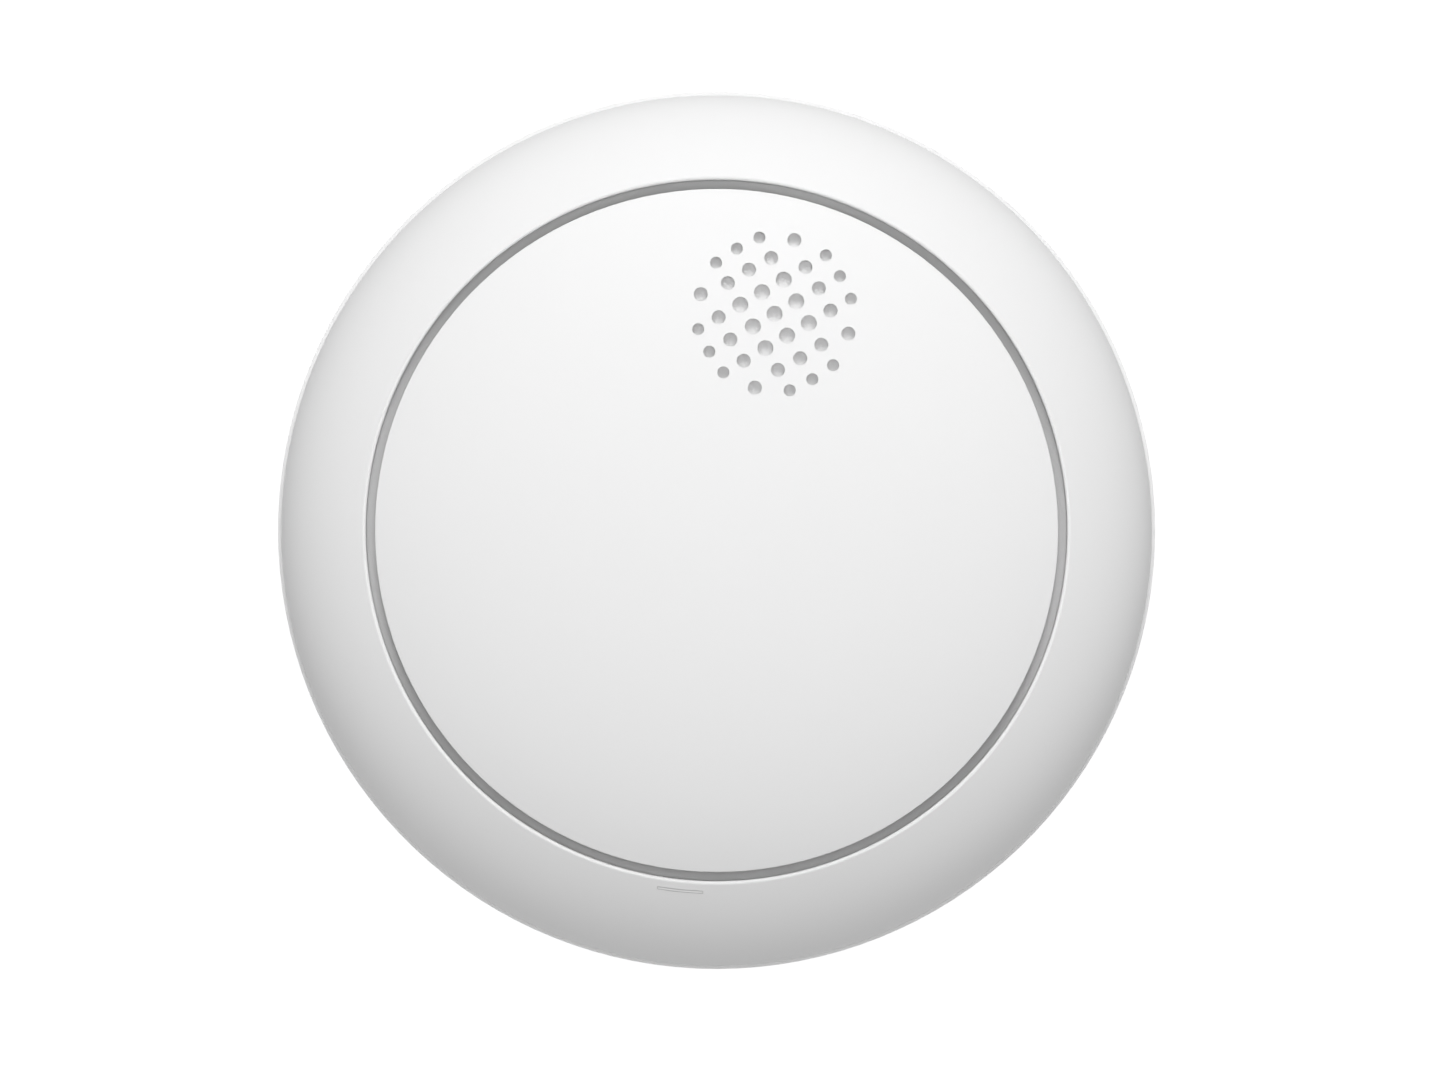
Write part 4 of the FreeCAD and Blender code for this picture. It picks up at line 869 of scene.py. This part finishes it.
def add_soft_light(name, azimuth, elevation, distance, size, power, glossy=True):
    """A square soft box that looks at the detector; without glossy it has no highlight."""
    data = bpy.data.lights.new(name, "AREA")
    data.shape = "SQUARE"
    data.size = size
    data.energy = power
    light = bpy.data.objects.new(name, data)
    turn = math.radians(azimuth)
    lift = math.radians(elevation)
    place = on_circle((0, 0), math.cos(lift), turn, math.sin(lift))
    light.location = place * distance
    light.rotation_euler = (-place).to_track_quat("-Z", "Y").to_euler()
    light.visible_glossy = glossy
    bpy.context.scene.collection.objects.link(light)


def make_floor():
    """A wide pale slab that glows a little, so that it reads as plain white."""
    reach = 4
    depth = 0.2
    grey = 0.15
    glow = 0.95
    slab = bmesh.new()
    bmesh.ops.create_cube(slab, size=1)
    bmesh.ops.scale(slab, vec=(2 * reach, 2 * reach, depth), verts=slab.verts)
    bmesh.ops.translate(slab, vec=(0, 0, -depth / 2), verts=slab.verts)
    mesh = bpy.data.meshes.new("floor")
    slab.to_mesh(mesh)
    slab.free()
    surface = Surface("pale_floor", roughness=0.9)
    surface.everywhere("Base Color", (grey, grey, grey, 1))
    surface.everywhere("Specular IOR Level", 0)
    surface.everywhere("Emission Color", (*WHITE, 1))
    surface.everywhere("Emission Strength", glow)
    mesh.materials.append(surface.material)
    floor = bpy.data.objects.new("floor", mesh)
    bpy.context.scene.collection.objects.link(floor)
    # The floor's glow would light the underside of the rim, so soft light passes it by.
    floor.visible_diffuse = False


def make_world(strength):
    world = bpy.data.worlds.new("studio")
    world.use_nodes = True
    background = world.node_tree.nodes["Background"]
    background.inputs["Color"].default_value = (*WHITE, 1)
    background.inputs["Strength"].default_value = strength
    bpy.context.scene.world = world


def make_studio():
    """A key light over the top edge, a matt light overhead and four weak lights around."""
    bpy.context.scene.view_settings.view_transform = "Standard"
    make_floor()
    make_world(strength=0.37)
    add_soft_light("key_light", azimuth=86, elevation=44, distance=2.0, size=1.2, power=21.4)
    add_soft_light("top_light", azimuth=0, elevation=90, distance=2.5, size=1.0, power=10.6,
                   glossy=False)
    for azimuth in (0, 90, 180, 270):
        add_soft_light(f"fill_light_{azimuth}", azimuth, elevation=45, distance=2.5, size=1.5,
                       power=2.4)


# ---------------------------------------------------------------- the build


def dress(frame, materials):
    """Gives each CAD node its material."""
    for material, nodes in materials:
        for node in nodes:
            mesh = frame["nodes"][node].data
            mesh.materials.clear()
            mesh.materials.append(material)


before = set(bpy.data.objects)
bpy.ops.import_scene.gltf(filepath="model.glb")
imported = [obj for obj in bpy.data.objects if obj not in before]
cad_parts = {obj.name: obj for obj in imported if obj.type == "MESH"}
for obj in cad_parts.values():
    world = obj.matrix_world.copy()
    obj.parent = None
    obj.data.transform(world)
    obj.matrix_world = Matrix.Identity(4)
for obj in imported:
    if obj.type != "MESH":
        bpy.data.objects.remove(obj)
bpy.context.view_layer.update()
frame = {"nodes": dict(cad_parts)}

make_camera()
make_studio()

shell_white = moulded_plastic("white_shell", (0.89, 0.89, 0.89), 0.5, shift=0.01, gloss=0.2)
plate_white = moulded_plastic("plate_plastic", (0.76, 0.76, 0.75), 0.55, depth=0.008 * MM)
deck_white = moulded_plastic("deck_plastic", (0.83, 0.83, 0.83), 0.5)
chamber_black = moulded_plastic("chamber_black", (0.022, 0.022, 0.022), 0.62, depth=0.008 * MM)
switch_black = moulded_plastic("switch_black", (0.035, 0.035, 0.038), 0.45)
plunger_cream = moulded_plastic("plunger_cream", (0.70, 0.67, 0.58), 0.38)
cup_white = moulded_plastic("cup_white", (0.74, 0.74, 0.72), 0.3)
tinned_steel = rolled_metal("tinned_steel", TIN, 0.32)
spring_steel = rolled_metal("spring_steel", (0.60, 0.60, 0.62), 0.28, grain=0.12 * MM)
screen_steel = rolled_metal("screen_steel", (0.56, 0.56, 0.58), 0.4)
contact_bronze = rolled_metal("contact_bronze", (0.72, 0.50, 0.27), 0.3)
emitter_resin = optical_resin("emitter_resin", (0.52, 0.62, 0.80), clearness=0.7)
receiver_resin = optical_resin("receiver_resin", (0.05, 0.035, 0.05), clearness=0.3)
screw_zinc = zinc_plate()
drum_ferrite = ferrite()
bead_epoxy = sensor_bead()

dress(frame, [
    (shell_white, ["rear_housing", "front_ring", "cover_disc"]),
    (plate_white, ["mounting_plate"]),
    (deck_white, ["inner_deck"]),
    (acoustic_cloth(), ["grille_cloth"]),
    (spring_steel, ["cover_springs"]),
    (screw_zinc, ["housing_screws"]),
    (board_laminate(), ["circuit_board"]),
    (chip_package(), ["microcontroller"]),
    (tinned_steel, ["radio_shield", "antenna"]),
    (capacitor_can(), ["board_capacitors"]),
    (drum_ferrite, ["horn_transformer"]),
    (passive_chips(), ["surface_mount_parts"]),
    (chamber_black, ["chamber_base", "chamber_labyrinth"]),
    (screen_steel, ["insect_screen"]),
    (emitter_resin, ["infrared_led"]),
    (receiver_resin, ["photodiode"]),
    (cup_white, ["sounder_cup", "sounder_retainer"]),
    (sounder_brass(), ["sounder_plate"]),
    (sounder_ceramic(), ["sounder_ceramic"]),
    (soft_rubber(), ["sounder_gasket"]),
    (contact_bronze, ["sounder_contacts"]),
    (cell_sleeve(), ["cell_left", "cell_right"]),
    (welded_nickel(), ["cell_tabs"]),
    (open_foam(), ["cell_pads"]),
    (switch_black, ["test_switch_body", "tamper_switch_body"]),
    (plunger_cream, ["test_switch_plunger", "tamper_plunger"]),
    (bead_epoxy, ["thermistor"]),
    (lamp_package(), ["status_led"]),
    (light_guide(), ["status_light_guide"]),
])

make_springs(spring_steel)
make_screw_threads(screw_zinc)
make_screen_mesh(screen_steel)
make_transformer(enamelled_wire(), drum_ferrite)
make_sensor(bead_epoxy)
make_solder(tinned_steel)
